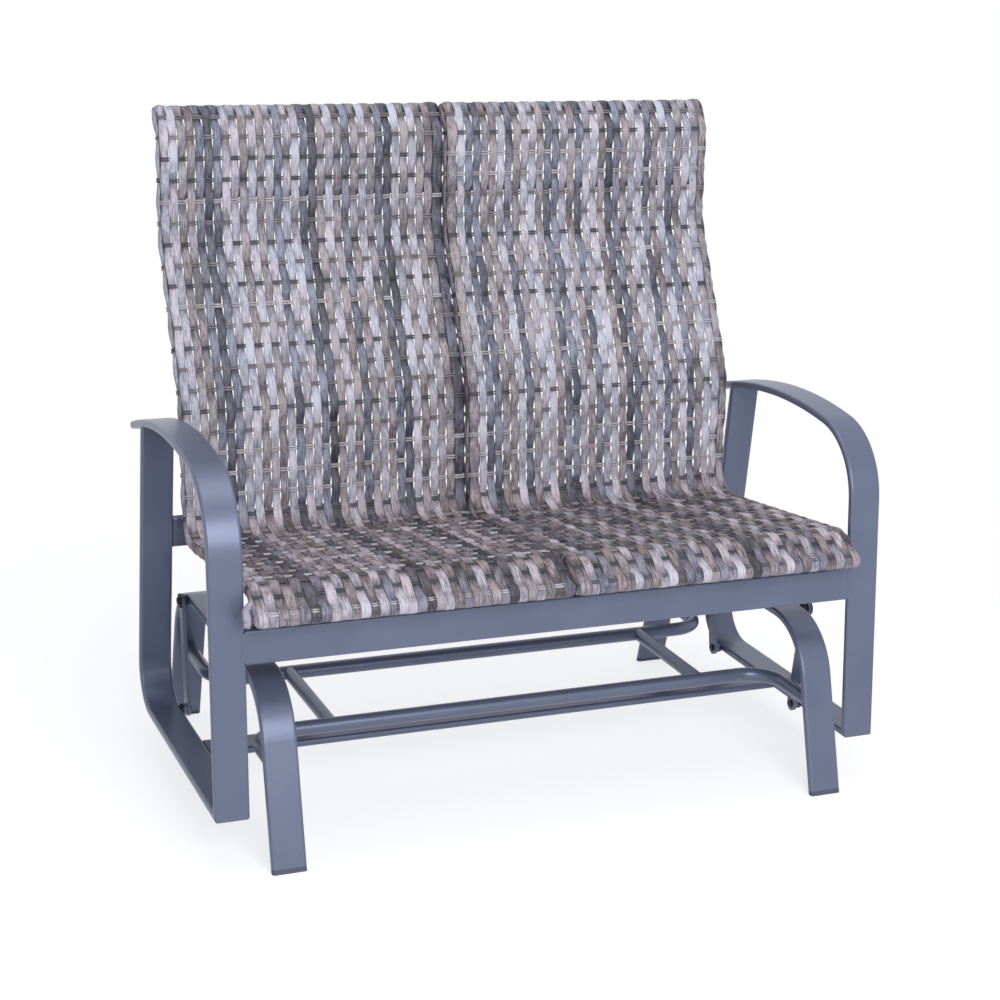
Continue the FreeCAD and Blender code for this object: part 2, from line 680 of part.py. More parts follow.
def place(item, turn, x, y, z):
    """Turn an object and drive its position."""
    item.Placement = Placement(Vector(), turn)
    for axis, text in zip("xyz", (x, y, z)):
        bind(item, f"Placement.Base.{axis}", text)
    return item


def add_ring(name, outer, inner, start, end, y, z):
    """Make a plain ring along X between two positions."""
    length = f"({end}) - ({start})"
    disc = add_cylinder(name + "_disc", outer, length)
    hole = add_cylinder(name + "_hole", inner, f"3 * ({length})", f"-({length})")
    ring = doc.addObject("Part::Cut", name)
    ring.Base = disc
    ring.Tool = hole
    return place(ring, Rotation(Vector(0, 1, 0), 90), start, y, z)


def add_bolt(name, family, shank):
    """Make a socket head fastener that points down its own -Z, head on top."""
    bevel = "bolt_head_bevel"
    head = add_cylinder(name + "_head", f"{family}_head_radius", f"{family}_head_height")
    crown = doc.addObject("Part::Cone", name + "_crown")
    bind(crown, "Radius1", f"{family}_head_radius")
    bind(crown, "Radius2", f"{family}_head_radius - {bevel}")
    bind(crown, "Height", bevel)
    bind(crown, "Placement.Base.z", f"{family}_head_height")
    stem = add_cylinder(name + "_stem", f"{family}_radius", shank, f"-({shank})")
    whole = doc.addObject("Part::MultiFuse", name + "_whole")
    whole.Shapes = [head, crown, stem]
    key = doc.addObject("Part::Prism", name + "_key")
    key.Polygon = 6
    bind(key, "Circumradius", f"{family}_hex_radius")
    bind(key, "Height", f"bolt_hex_depth + {bevel}")
    bind(key, "Placement.Base.z", f"{family}_head_height + {bevel} - bolt_hex_depth")
    bolt = doc.addObject("Part::Cut", name)
    bolt.Base = whole
    bolt.Tool = key
    return bolt


def group(label, items):
    compound = doc.addObject("Part::Compound", label)
    compound.Links = items
    return finish(compound, label)


# Bushes, spacers, washers and bolts of the eight pivots
RUNNING = "bolt_radius + bolt_gap"
LOOSE = "bolt_radius + open_pivot_gap"
upper_bolts, lower_bolts, upper_spacers, lower_spacers, washers = [], [], [], [], []
for end, way in ENDS:
    for side, sign in SIDES:
        tag = f"{end}_{side}"
        upper = (f"{way} * upper_pivot_y", UPPER_PIVOT_Z)
        lower = (f"{way} * lower_pivot_y", LOWER_PIVOT_Z)

        def span(near, far):
            """Order two distances from the middle plane along +X."""
            return (near, far) if sign > 0 else (f"-({far})", f"-({near})")

        low_bore = RUNNING if end == "front" else LOOSE
        group(f"link_{tag}_bushes", [
            add_ring(f"upper_bush_{tag}", "bush_radius", RUNNING,
                     *span(LINK_INNER_X, LINK_OUTER_X), *upper),
            add_ring(f"lower_bush_{tag}", "bush_radius", low_bore,
                     *span(LINK_INNER_X, BOSS_OUTER_X), *lower),
        ])
        upper_spacers.append(add_ring(
            f"upper_spacer_{tag}", "spacer_radius", "spacer_bore",
            *span(f"{BASE_EDGE_X} + side_gap", f"{LINK_INNER_X} - side_gap"), *upper))
        lower_spacers.append(add_ring(
            f"lower_spacer_{tag}", "spacer_radius", "spacer_bore",
            *span(f"{BOSS_OUTER_X} + side_gap", f"{LOOP_EDGE_X} - side_gap"), *lower))
        seat_face = f"({LINK_OUTER_X} + side_gap + washer_height)"
        washers.append(add_ring(
            f"washer_{tag}", "washer_radius", "spacer_bore",
            *span(f"{LINK_OUTER_X} + side_gap", seat_face), *upper))
        bolt = add_bolt(f"upper_bolt_{tag}", "bolt", f"{seat_face} - {BASE_EDGE_X} + bolt_seat_depth")
        upper_bolts.append(place(bolt, Rotation(Vector(0, 1, 0), 90 * sign),
                                 f"{sign} * {seat_face}", *upper))
        seat_face = f"({LINK_INNER_X} - side_gap)"
        bolt = add_bolt(f"lower_bolt_{tag}", "bolt", f"{LOOP_EDGE_X} - {seat_face} + bolt_seat_depth")
        lower_bolts.append(place(bolt, Rotation(Vector(0, 1, 0), -90 * sign),
                                 f"{sign} * {seat_face}", *lower))
group("upper_pivot_bolts", upper_bolts)
group("upper_pivot_spacers", upper_spacers)
group("upper_pivot_washers", washers)
group("lower_pivot_bolts", lower_bolts)
group("lower_pivot_spacers", lower_spacers)

# Panel frames: bent side rails, straight cross tubes and braces
CREST = ("(hip_y - seat_run)", "(hip_z + seat_rise)")
NOSE = (f"({CREST[0]} - nose_run)", f"({CREST[1]} - nose_drop)")
LUMBAR = ("(hip_y + lumbar_run)", "(hip_z + lumbar_rise)")
SHOULDER = (f"({LUMBAR[0]} + back_run)", f"({LUMBAR[1]} + back_rise)")
NECK = (SHOULDER[0], f"({SHOULDER[1]} + head_rise)")
TOP = (f"({NECK[0]} + top_run)", f"({NECK[1]} + top_rise)")
RAIL_CORNERS = [NOSE, CREST, ("hip_y", "hip_z"), LUMBAR, SHOULDER, NECK, TOP]
RAIL_BENDS = ["crest_radius", "hip_radius", "lumbar_radius", "back_radius", "head_radius"]
NOSE_TILT = "atan(nose_drop / nose_run)"
SEAT_FALL = "(seat_rise / seat_run)"
LOW_BRACE = (f"(hip_y - low_brace_run - brace_drop * {SEAT_FALL})",
             f"(hip_z + low_brace_run * {SEAT_FALL} - brace_drop)")
HIGH_BRACE = (f"({SHOULDER[0]} + brace_drop)", f"({SHOULDER[1]} + high_brace_rise)")
CROSS_TUBES = (("front_tube", *NOSE), ("top_tube", *TOP))


def rail_pipe(body, kind, x, radius):
    """Run a round section along the bent side of a panel."""
    path = add_path(body, "YZ_Plane", RAIL_CORNERS, RAIL_BENDS, x=x)
    profile = add_sketch(body, "XZ_Plane", x=x, y=NOSE[0], z=NOSE[1], tilt=NOSE_TILT)
    add_circle(profile, "0", "0", radius)
    doc.recompute()
    return add_pipe(body, kind, profile, path)


for side, sign in SIDES:
    for rail_name, rail_x in (("inner_rail", INNER_RAIL_X), ("outer_rail", OUTER_RAIL_X)):
        rail = add_body(f"panel_{side}_{rail_name}")
        x = f"{sign} * {rail_x}"
        rail_pipe(rail, "Additive", x, "panel_tube_radius")
        for _, y, z in CROSS_TUBES:
            bore(rail, x, y, z, f"{TUBE_BORE}", "4 * panel_tube_radius")
    for tube_name, y, z in CROSS_TUBES:
        tube = add_body(f"panel_{side}_{tube_name}")
        sketch = add_sketch(tube, "YZ_Plane", x=f"{sign} * {PANEL_MIDDLE_X}", y=y, z=z)
        add_circle(sketch, "0", "0", "panel_tube_radius")
        add_pad(tube, sketch, f"{PANEL_WIDTH} - 2 * (weave_gap + weave_wrap)")
    for brace_name, (y, z) in (("low_brace", LOW_BRACE), ("high_brace", HIGH_BRACE)):
        tube = add_body(f"panel_{side}_{brace_name}")
        sketch = add_sketch(tube, "YZ_Plane", x=f"{sign} * {PANEL_MIDDLE_X}", y=y, z=z)
        add_circle(sketch, "0", "0", "brace_radius")
        add_pad(tube, sketch, f"{OUTER_RAIL_X} - {INNER_RAIL_X} - 2 * {TUBE_BORE}")

# Woven panels: a sheet that wraps round all four tubes of its frame, slit into its strands
STRAND_PITCH = f"(({OUTER_RAIL_X} - {INNER_RAIL_X}) / strand_gaps)"
panel = add_body("woven_panel_left")
middle = f"-{PANEL_MIDDLE_X}"
path = add_path(panel, "YZ_Plane", RAIL_CORNERS, RAIL_BENDS, x=middle)
profile = add_sketch(panel, "XZ_Plane", x=middle, y=NOSE[0], z=NOSE[1], tilt=NOSE_TILT)
half_text = f"({OUTER_RAIL_X} - {INNER_RAIL_X}) / 2"
under_text = f"{WRAP_RADIUS} - weave_thickness"
half, wrap, under = (value(text) for text in (half_text, WRAP_RADIUS, under_text))
step = math.sqrt(wrap ** 2 - under ** 2)
upper_line = add_line(profile, Vector(half, wrap, 0), Vector(-half, wrap, 0))
left_arc, left_ends = add_arc(profile, Vector(-half, 0, 0), Vector(-half, wrap, 0),
                              Vector(-half + step, under, 0), True)
under_line = add_line(profile, Vector(-half + step, under, 0), Vector(half - step, under, 0))
right_arc, right_ends = add_arc(profile, Vector(half, 0, 0), Vector(half - step, under, 0),
                                Vector(half, wrap, 0), True)
relate(profile, "Tangent", upper_line, 2, left_arc, left_ends[0])
relate(profile, "Coincident", left_arc, left_ends[1], under_line, 1)
relate(profile, "Coincident", under_line, 2, right_arc, right_ends[0])
relate(profile, "Tangent", right_arc, right_ends[1], upper_line, 1)
relate(profile, "Horizontal", under_line)
relate(profile, "PointOnObject", left_arc, 3, -1)
relate(profile, "PointOnObject", right_arc, 3, -1)
measure(profile, "DistanceX", -1, 1, right_arc, 3, half_text)
measure(profile, "DistanceX", left_arc, 3, -1, 1, half_text)
measure(profile, "Radius", left_arc, WRAP_RADIUS)
measure(profile, "DistanceY", -1, 1, under_line, 1, under_text)
doc.recompute()
add_pipe(panel, "Additive", profile, path)
for _, y, z in CROSS_TUBES:
    sketch = add_sketch(panel, "YZ_Plane", x=middle, y=y, z=z)
    add_circle(sketch, "0", "0", f"{WRAP_RADIUS} + roll_swell")
    add_pad(panel, sketch, f"{PANEL_WIDTH} + roll_swell")
for rail_x in (INNER_RAIL_X, OUTER_RAIL_X):
    rail_pipe(panel, "Subtractive", f"-{rail_x}", TUBE_BORE)
for _, y, z in CROSS_TUBES:
    bore(panel, middle, y, z, f"{TUBE_BORE} + weave_gap",
         f"{PANEL_WIDTH} - 2 * weave_wrap + roll_swell")
for y, z in (LOW_BRACE, HIGH_BRACE):
    bore(panel, middle, y, z, "brace_radius + weave_gap", f"{OUTER_RAIL_X} - {INNER_RAIL_X}")
first = f"{middle} - (strand_gaps - 1) / 2 * {STRAND_PITCH}"
slit = add_sketch(panel, "XZ_Plane", x=first, y=NOSE[0], z=NOSE[1], tilt=NOSE_TILT)
low, high = f"{under_text} - slit_reach", f"{WRAP_RADIUS} + slit_reach"
edges = ("-strand_slit / 2", "strand_slit / 2")
add_polygon(slit, [(edges[0], low), (edges[1], low), (edges[1], high), (edges[0], high)])
doc.recompute()
cut = add_pipe(panel, "Subtractive", slit, path)
repeat_across(panel, cut, STRAND_PITCH, "strand_gaps")
for _, y, z in CROSS_TUBES:
    groove = add_sketch(panel, "YZ_Plane", x=first, y=y, z=z)
    add_circle(groove, "0", "0", high)
    add_circle(groove, "0", "0", f"{WRAP_RADIUS} + roll_swell - roll_groove")
    cut = add_pocket(panel, groove, "strand_slit")
    repeat_across(panel, cut, STRAND_PITCH, "strand_gaps")
mirror = doc.addObject("Part::Mirroring", "woven_panel_right")
mirror.Source = panel
mirror.Normal = Vector(1, 0, 0)
finish(mirror, "woven_panel_right")

# Brackets and screws that hold the panel frames on the rails. Each screw goes in from the rear.
FRONT_PLATE_Y = (f"(loop_front + leg_slope * (front_bracket_z - loop_bottom)"
                 f" + flat_thickness * {LEG_STRETCH})")
REAR_BLOCK_Y = (f"(runner_back - upright_slope * (rear_bracket_z - loop_bottom)"
                f" - (flat_thickness + rear_bracket_depth) * {UPRIGHT_STRETCH})")
FRONT_RISES = ("front_screw_rise", "(front_screw_rise + front_screw_spacing)")
BRACKETS = (
    ("front", (FRONT_PLATE_Y, "front_bracket_z"), "leg_slope", "front_bracket_height",
     "bracket_plate", "bracket_plate", FRONT_RISES),
    ("rear", (REAR_BLOCK_Y, "rear_bracket_z"), "(-upright_slope)", "rear_bracket_height",
     "rear_bracket_depth", "(rear_bracket_depth + flat_thickness)", ("(rear_bracket_height / 2)",)),
)


def drill_back(body, x, y, z, slope, length):
    """Drill square to a leaning face through a point on it."""
    sketch = add_sketch(body, "XZ_Plane", x=x, y=y, z=z, tilt=f"-atan({slope})")
    add_circle(sketch, "0", "0", "screw_radius + bolt_gap")
    return add_pocket(body, sketch, f"2 * ({length} + side_gap)")


for end, (y, z), slope, height, depth, head_depth, rises in BRACKETS:
    stretch = f"sqrt(1 + {slope} ^ 2)"
    shank = "(bracket_plate + screw_grip)" if end == "front" else "(flat_thickness + screw_grip)"
    brackets, screws = [], []
    for side, sign in SIDES:
        for rail_x in (INNER_RAIL_X, OUTER_RAIL_X):
            x = f"{sign} * {rail_x}"
            bracket = doc.addObject("PartDesign::Body", f"{end}_bracket_{len(brackets) + 1}")
            sketch = add_sketch(bracket, "YZ_Plane", x=x)
            leaning_box(sketch, y, z, slope, height, depth)
            add_pad(bracket, sketch, "bracket_width")
            brackets.append(bracket)
            for rise in rises:
                spot_y = f"{y} + ({rise} * {slope} + {head_depth}) / {stretch}"
                spot_z = f"{z} + ({rise} - {head_depth} * {slope}) / {stretch}"
                for body in (bracket, rails[f"{end}_rail"]):
                    drill_back(body, x, spot_y, spot_z, slope, shank)
                screw = add_bolt(f"{end}_screw_{len(screws) + 1}", "screw", shank)
                place(screw, Rotation(Vector(-1, 0, 0), 90), x, spot_y, spot_z)
                bind(screw, "Placement.Rotation.Angle", f"90 deg + atan({slope})")
                screws.append(screw)
    group(f"{end}_panel_brackets", brackets)
    group(f"{end}_panel_screws", screws)

doc.recompute()
for item in doc.Objects:
    assert not ({"Invalid", "Error"} & set(item.State)), (item.Name, item.State)
os.makedirs("parts", exist_ok=True)
for node in nodes:
    shape = node.Shape
    assert not shape.isNull() and shape.isValid() and shape.Volume > 0, node.Label
    shape.exportStep(f"parts/{node.Label}.step")
print(len(nodes), "nodes")
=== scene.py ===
"""Glider bench: woven resin panels, powder-coated frame, studio floor and camera."""
import math

import bpy
from mathutils import Matrix, Vector


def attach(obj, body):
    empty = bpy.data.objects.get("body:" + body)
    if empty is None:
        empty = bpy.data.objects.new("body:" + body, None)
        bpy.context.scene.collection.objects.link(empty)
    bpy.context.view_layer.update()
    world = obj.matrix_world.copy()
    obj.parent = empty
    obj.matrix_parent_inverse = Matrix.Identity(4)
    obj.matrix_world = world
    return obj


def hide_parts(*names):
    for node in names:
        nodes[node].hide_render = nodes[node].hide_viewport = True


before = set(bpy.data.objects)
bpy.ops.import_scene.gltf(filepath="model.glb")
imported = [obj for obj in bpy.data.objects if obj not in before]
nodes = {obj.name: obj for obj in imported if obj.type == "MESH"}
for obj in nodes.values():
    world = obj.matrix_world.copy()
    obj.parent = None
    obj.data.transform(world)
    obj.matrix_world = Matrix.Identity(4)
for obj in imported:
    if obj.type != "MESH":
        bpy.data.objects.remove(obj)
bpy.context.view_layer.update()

MM = 0.001

# Centre line of a panel's side rail, from the nose to the top, as seen from
# the side: forward distance, height and bend radius.
RAIL_LINE = (
    (-343.0, 424.0, 0.0),
    (-294.0, 454.0, 50.0),
    (164.0, 403.0, 55.0),
    (182.0, 640.0, 160.0),
    (318.0, 922.0, 140.0),
    (318.0, 1092.0, 32.0),
    (345.0, 1130.0, 0.0),
)
INNER_RAIL = 16.3 * MM
OUTER_RAIL = 518.7 * MM

# Strands of a panel: number, section, wave and wander, and how they spread or flatten
STRAND_GAPS = 32
STRANDS = STRAND_GAPS + 3
STRAND_PITCH = (OUTER_RAIL - INNER_RAIL) / STRAND_GAPS
STRAND_WIDTH = 14.8 * MM
STRAND_THICKNESS = 1.3 * MM
STRAND_CROWN = 0.25 * MM
STRAND_EDGE_DROP = 0.8 * MM
STRAND_LINES = 1.6
STRAND_WAVE = 3.0 * MM
WANDER = 1.0 * MM
WANDER_SCALE = 0.07
BACK_PINCH = 0.1
TUCK_GAIN = 1.6
TOP_SPREAD = 1.06
SEAT_SPREAD = 1.1
SEAT_WAVE = 0.8
SEAT_CUP = 1.9 * MM
END_WAVE = 0.3
LAST_ROW_WAVE = 0.55
SIDE_WAVE = 0.5
SIDE_STRANDS = 1.6
NOSE_LIFT = 1.2 * MM
NOSE_LIFT_RUN = 8.0 * MM
ROW_PITCH = 37.5 * MM
ROW_STEPS = 6

# Cords: radius, distance within a pair, sides, and steps from end to end
CORD_RADIUS = 1.7 * MM
CORD_SPACING = 4.2 * MM
CORD_SIDES = 6
CORD_END_STEPS = 9
CORD_END_STEP = 5.2 * MM
CORD_MIDDLE_STEPS = 8

# Levels of the sheet's middle over the rail's centre line: field, sides and both rolls
FIELD_LEVEL = 9.8 * MM
RAIL_LEVEL = 11.4 * MM
ROLL_LEVEL = 11.2 * MM
BLEND_RUN = 24.0 * MM
SIDE_BLEND_RUN = 22.0 * MM
SIDE_WRAP_DEGREES = 216
SIDE_WRAP_STEP = 8

# Lengths along the sheet: tucked ends, first row of cords, last row and hip
TOP_WRAP = 57.0 * MM
FIRST_ROW = TOP_WRAP + 15.5 * MM
NOSE_WRAP = 44.0 * MM
LAST_ROW_REACH = 4.0 * MM
HIP_RUN = 790.0 * MM
HIP_FADE_LEAD = 30.0 * MM
NOSE_FADE_LEAD = 50.0 * MM
# Pairs of rows over which the painted seat shade comes in
SEAT_SHADE_FADE = 0.8

# How the top leans, the inner edge is pulled in and the outer corners are drawn out
TOP_LEAN = 4.0 * MM
TOP_LEAN_RUN = 30.0 * MM
INNER_PULL = 3.6 * MM
INNER_PULL_STEPS = (4.0 * MM, 6.0 * MM, 8.0 * MM)
RAIL_BORE = 1.2 * MM
PAST_RAIL = 3.0 * MM
BACK_FROM = 0.6
BACK_DRAW_RADIUS = 0.1
NOSE_FROM = -0.32
NOSE_DRAW_RADIUS = 0.14

# Points this near to a level belong to it
NEAR = 0.1 * MM
QUARTER_TURN = math.pi / 2

# A strand's end beside the left nose: its line seen from the side, and its place across
STRAND_END_LINE = tuple(
    (y * MM, z * MM)
    for y, z in (
        (-328, 410),
        (-335, 411),
        (-340, 415),
        (-342, 422),
        (-340, 430),
        (-334, 437),
        (-325, 443),
        (-314, 448),
        (-303, 452),
    )
)
STRAND_END_WIDTH = 14.0 * MM
STRAND_END_PLACE = 549.5 * MM
STRAND_END_TIP = 3.0 * MM
STRAND_END_TAPER = 0.6
STRAND_END_FROM = -0.312
STRAND_END_DRAW_RADIUS = 0.03

# Rail faces beside the loops: lower and upper place, and the way the face looks
LOOP_INNER_FACE = 542.0 * MM
FRONT_RAIL_FACE = ((-303.7 * MM, 341.5 * MM), (-300.3 * MM, 389.5 * MM), -1)
REAR_RAIL_FACE = ((205.65 * MM, 390.5 * MM), (199.4 * MM, 438.5 * MM), 1)
WELD_WIDTH = 9.0 * MM
WELD_DEPTH = 4.0 * MM
WELD_CENTRE = 1.8 * MM
WELD_SINK = 0.25 * MM
WELD_COLUMNS = 6
WELD_ROWS = 8

# The camera: yaw, pitch and roll in degrees, place in metres and focal length in mm
CAMERA_TURNS = (21.963, 15.907, 1.461)
CAMERA_PLACE = (-1.341, -3.3306, 1.5034)
CAMERA_LENS = 75.94

# The lamps: what they point at, their size across, and the place and power of each
LAMP_AIM = (0.0, 0.0, 0.5)
LAMP_SIZE = 2.2
KEY_LAMP = ((-0.3, -4.1, 2.3), 97.0)
TOP_LAMP = ((0.2, -0.4, 4.2), 30.0)

# The surround's light, and the floor: width, glow, and the reaches it turns white in
AMBIENT = 0.4
FLOOR_SIZE = 60.0
FLOOR_GLOW = 0.725
FLOOR_FADE = (0.7, 1.9)

# Painted shade on the seat: its share of each colour, its added contrast and greyness,
# the deeper painted shade where strands pass under the cords, and the nose's share of
# it
SEAT_SHADE_TINT = (1.15, 1.02, 1.01)
SEAT_SHADE_CONTRAST = 0.32
SEAT_SHADE_GREYNESS = 0.3
SEAT_DIP_SHADE = (0.5, 0.49, 0.51)
NOSE_SHADE_SHARE = 0.4

# Warm and cool lengths of strand, and how much each part of the grain counts, painted
# edge and dip shade among them
WARM_CAST = (1.0, 0.95, 0.93)
COOL_CAST = (0.935, 0.97, 1.0)
GRAIN_MIDDLE = 0.53
GRAIN_WEIGHTS = (
    ("Streaks", 0.85),
    ("Blotches", 0.3),
    ("Tone", 0.45),
    ("Edges", -0.28),
    ("Dips", -0.06),
)
CORD_WEIGHTS = (("Streaks", 0.4), ("Blotches", 0.3), ("Tone", 0.4))


def clear_selection():
    """Leaves object mode with nothing selected."""
    if bpy.context.object and bpy.context.object.mode != "OBJECT":
        bpy.ops.object.mode_set(mode="OBJECT")
    bpy.ops.object.select_all(action="DESELECT")


def everywhere(_):
    """A test that every point passes."""
    return True


def choose(*pieces):
    """Selects these pieces alone; the last one is active."""
    clear_selection()
    for piece in pieces:
        piece.select_set(True)
        bpy.context.view_layer.objects.active = piece
    return pieces[-1]


def pick(piece, wanted):
    """Enters edit mode with the points selected that pass the test."""
    choose(piece)
    mesh = piece.data
    mesh.polygons.foreach_set("select", [False] * len(mesh.polygons))
    mesh.edges.foreach_set("select", [False] * len(mesh.edges))
    mesh.vertices.foreach_set("select", [bool(wanted(v.co)) for v in mesh.vertices])
    bpy.context.tool_settings.mesh_select_mode = (True, False, False)
    bpy.ops.object.mode_set(mode="EDIT")


def shift(piece, wanted, move):
    """Moves the points that pass the test."""
    pick(piece, wanted)
    bpy.ops.transform.translate(value=move)
    clear_selection()


def squeeze(piece, wanted, factors, about):
    """Scales the points that pass the test about a place."""
    pick(piece, wanted)
    bpy.ops.transform.resize(value=factors, center_override=about)
    clear_selection()


def cut_off(piece, height, keep_below):
    """Cuts the piece at a height and keeps one side."""
    pick(piece, everywhere)
    bpy.ops.mesh.bisect(
        plane_co=(0, 0, height),
        plane_no=(0, 0, 1),
        clear_outer=keep_below,
        clear_inner=not keep_below,
    )
    clear_selection()


def score(piece, height):
    """Adds a ring of points at a height."""
    pick(piece, everywhere)
    bpy.ops.mesh.bisect(plane_co=(0, 0, height), plane_no=(0, 0, 1))
    clear_selection()


def repeat(piece, count, step, merge=False, uv_step=(0.0, 0.0)):
    """Repeats a piece along a straight step."""
    choose(piece)
    bpy.ops.object.modifier_add(type="ARRAY")
    array = piece.modifiers[-1]
    array.count = count
    array.use_relative_offset = False
    array.use_constant_offset = True
    array.constant_offset_displace = step
    array.use_merge_vertices = merge
    array.merge_threshold = 0.01 * MM
    array.offset_u, array.offset_v = uv_step
    bpy.ops.object.modifier_apply(modifier=array.name)


def thicken(piece, thickness):
    """Gives a flat strip its thickness, half on each side."""
    choose(piece)
    bpy.ops.object.modifier_add(type="SOLIDIFY")
    wall = piece.modifiers[-1]
    wall.thickness = thickness
    wall.offset = 0.0
    bpy.ops.object.modifier_apply(modifier=wall.name)


def bend_along(piece, outline):
    """Bends a piece whose length runs along X to a flat outline of points."""
    line = bpy.data.curves.new("outline", "CURVE")
    line.dimensions = "2D"
    line.use_deform_bounds = False
    spline = line.splines.new("POLY")
    spline.points.add(len(outline) - 1)
    for point, (x, y) in zip(spline.points, outline):
        point.co = (x, y, 0.0, 1.0)
    guide = bpy.data.objects.new("outline", line)
    bpy.context.collection.objects.link(guide)
    choose(piece)
    bpy.ops.object.modifier_add(type="CURVE")
    bend = piece.modifiers[-1]
    bend.object = guide
    bend.deform_axis = "POS_X"
    bpy.ops.object.modifier_apply(modifier=bend.name)
    bpy.data.objects.remove(guide)
    bpy.data.curves.remove(line)


def smooth(piece, degrees):
    """Shades a piece smooth except at edges sharper than an angle."""
    choose(piece)
    bpy.ops.object.shade_smooth_by_angle(angle=math.radians(degrees))


def settle(piece, columns, place=(0.0, 0.0, 0.0)):
    """Turns a piece to new axes, moves it and leaves its object at the origin."""
    choose(piece)
    turn = Matrix(columns).transposed().to_4x4()
    piece.matrix_world = Matrix.Translation(place) @ turn
    bpy.ops.object.transform_apply(location=True, rotation=True, scale=True)


def length_of(outline):
    """Length of a line of points."""
    return sum(math.dist(a, b) for a, b in zip(outline, outline[1:]))


def rail_points(step=3.0 * MM):
    """The side rail's centre line as places with headings, bends rounded."""
    corners = [(y * MM, z * MM, r * MM) for y, z, r in RAIL_LINE]
    headings = [
        math.atan2(b[1] - a[1], b[0] - a[0]) for a, b in zip(corners, corners[1:])
    ]
    found = []
    start = corners[0][:2]
    for index, heading in enumerate(headings):
        goal = corners[index + 1]
        turn = 0.0
        if index + 1 < len(headings):
            turn = headings[index + 1] - heading
            turn = (turn + math.pi) % (2 * math.pi) - math.pi
        cut = goal[2] * abs(math.tan(turn / 2))
        along = (math.cos(heading), math.sin(heading))
        run = math.dist(start, goal[:2]) - cut
        count = max(2, int(run / step))
        for i in range(count):
            reach = run * i / count
            found.append(
                (start[0] + along[0] * reach, start[1] + along[1] * reach, heading)
            )
        end = (start[0] + along[0] * run, start[1] + along[1] * run)
        if cut:
            side = 1 if turn > 0 else -1
            centre = (
                end[0] - along[1] * goal[2] * side,
                end[1] + along[0] * goal[2] * side,
            )
            count = max(3, int(abs(turn) * goal[2] / step))
            for i in range(count + 1):
                angle = heading + turn * i / count
                place = (
                    centre[0] + math.sin(angle) * goal[2] * side,
                    centre[1] - math.cos(angle) * goal[2] * side,
                )
                if i < count:
                    found.append((place[0], place[1], angle))
            start = place
        else:
            found.append((end[0], end[1], heading))
            start = end
    return found


def beside(y, z, heading, level):
    """The place at a level over a line, square to its heading."""
    return (y - math.sin(heading) * level, z + math.cos(heading) * level)


def sheet_outline():
    """The sheet's middle from its tucked nose end to its tucked top end."""
    rail = rail_points()
    walked = [0.0]
    for a, b in zip(rail, rail[1:]):
        walked.append(walked[-1] + math.dist(a[:2], b[:2]))
    outline = []
    turns = 24
    y, z, heading = rail[0]
    for i in range(turns, 0, -1):
        angle = heading + NOSE_WRAP / ROLL_LEVEL * i / turns
        outline.append(beside(y, z, angle, ROLL_LEVEL))
    for (y, z, heading), reach in zip(rail, walked):
        near = min(reach, walked[-1] - reach)
        share = max(0.0, 1.0 - near / BLEND_RUN)
        level = FIELD_LEVEL + (ROLL_LEVEL - FIELD_LEVEL) * share * share
        outline.append(beside(y, z, heading, level))
    y, z, heading = rail[-1]
    for i in range(1, turns + 1):
        angle = heading - TOP_WRAP / ROLL_LEVEL * i / turns
        outline.append(beside(y, z, angle, ROLL_LEVEL))
    return outline


def cross_outline():
    """The sheet's middle from rail to rail, bent round both; height 0 is the field."""
    half = (OUTER_RAIL - INNER_RAIL) / 2
    right = []
    steps = 10
    for i in range(steps + 1):
        share = i / steps
        rise = (RAIL_LEVEL - FIELD_LEVEL) * share * share * (3 - 2 * share)
        right.append((half - SIDE_BLEND_RUN * (1 - share), rise))
    for degrees in range(SIDE_WRAP_STEP, SIDE_WRAP_DEGREES + 1, SIDE_WRAP_STEP):
        angle = math.radians(degrees)
        right.append(
            (
                half + math.sin(angle) * RAIL_LEVEL,
                math.cos(angle) * RAIL_LEVEL - FIELD_LEVEL,
            )
        )
    left = [(-x, y) for x, y in reversed(right)]
    return left + right


SHEET = sheet_outline()
SHEET_LENGTH = length_of(SHEET)
CROSS = cross_outline()
CROSS_LENGTH = length_of(CROSS)
ROWS = 1 + int((SHEET_LENGTH - NOSE_WRAP + LAST_ROW_REACH - FIRST_ROW) / ROW_PITCH)
STRIP_TOP = FIRST_ROW - 2 * ROW_PITCH
NOSE_RUN = SHEET_LENGTH - NOSE_WRAP
HIP_PAIR = (HIP_RUN - HIP_FADE_LEAD - STRIP_TOP) / (2 * ROW_PITCH)
NOSE_PAIR = (NOSE_RUN - NOSE_FADE_LEAD - STRIP_TOP) / (2 * ROW_PITCH)


def add_socket(group, name, kind, in_out):
    """Gives a node group a named socket."""
    return group.interface.new_socket(name=name, in_out=in_out, socket_type=kind)


def link(tree, pairs):
    """Joins sockets."""
    for source, target in pairs:
        tree.links.new(source, target)


def fine_texture_group():
    """Fine grit and soft clouds for coated and moulded surfaces."""
    group = bpy.data.node_groups.new("fine_texture", "ShaderNodeTree")
    add_socket(group, "Vector", "NodeSocketVector", "INPUT")
    scale = add_socket(group, "Grit scale", "NodeSocketFloat", "INPUT")
    scale.default_value = 900.0
    add_socket(group, "Grit", "NodeSocketFloat", "OUTPUT")
    add_socket(group, "Clouds", "NodeSocketFloat", "OUTPUT")
    make = group.nodes.new
    entry = make("NodeGroupInput")
    leave = make("NodeGroupOutput")
    grit = make("ShaderNodeTexNoise")
    grit.inputs["Detail"].default_value = 2.0
    clouds = make("ShaderNodeTexNoise")
    clouds.inputs["Scale"].default_value = 9.0
    clouds.inputs["Detail"].default_value = 4.0
    link(
        group,
        (
            (entry.outputs["Vector"], grit.inputs["Vector"]),
            (entry.outputs["Grit scale"], grit.inputs["Scale"]),
            (entry.outputs["Vector"], clouds.inputs["Vector"]),
            (grit.outputs["Fac"], leave.inputs["Grit"]),
            (clouds.outputs["Fac"], leave.inputs["Clouds"]),
        ),
    )
    return group


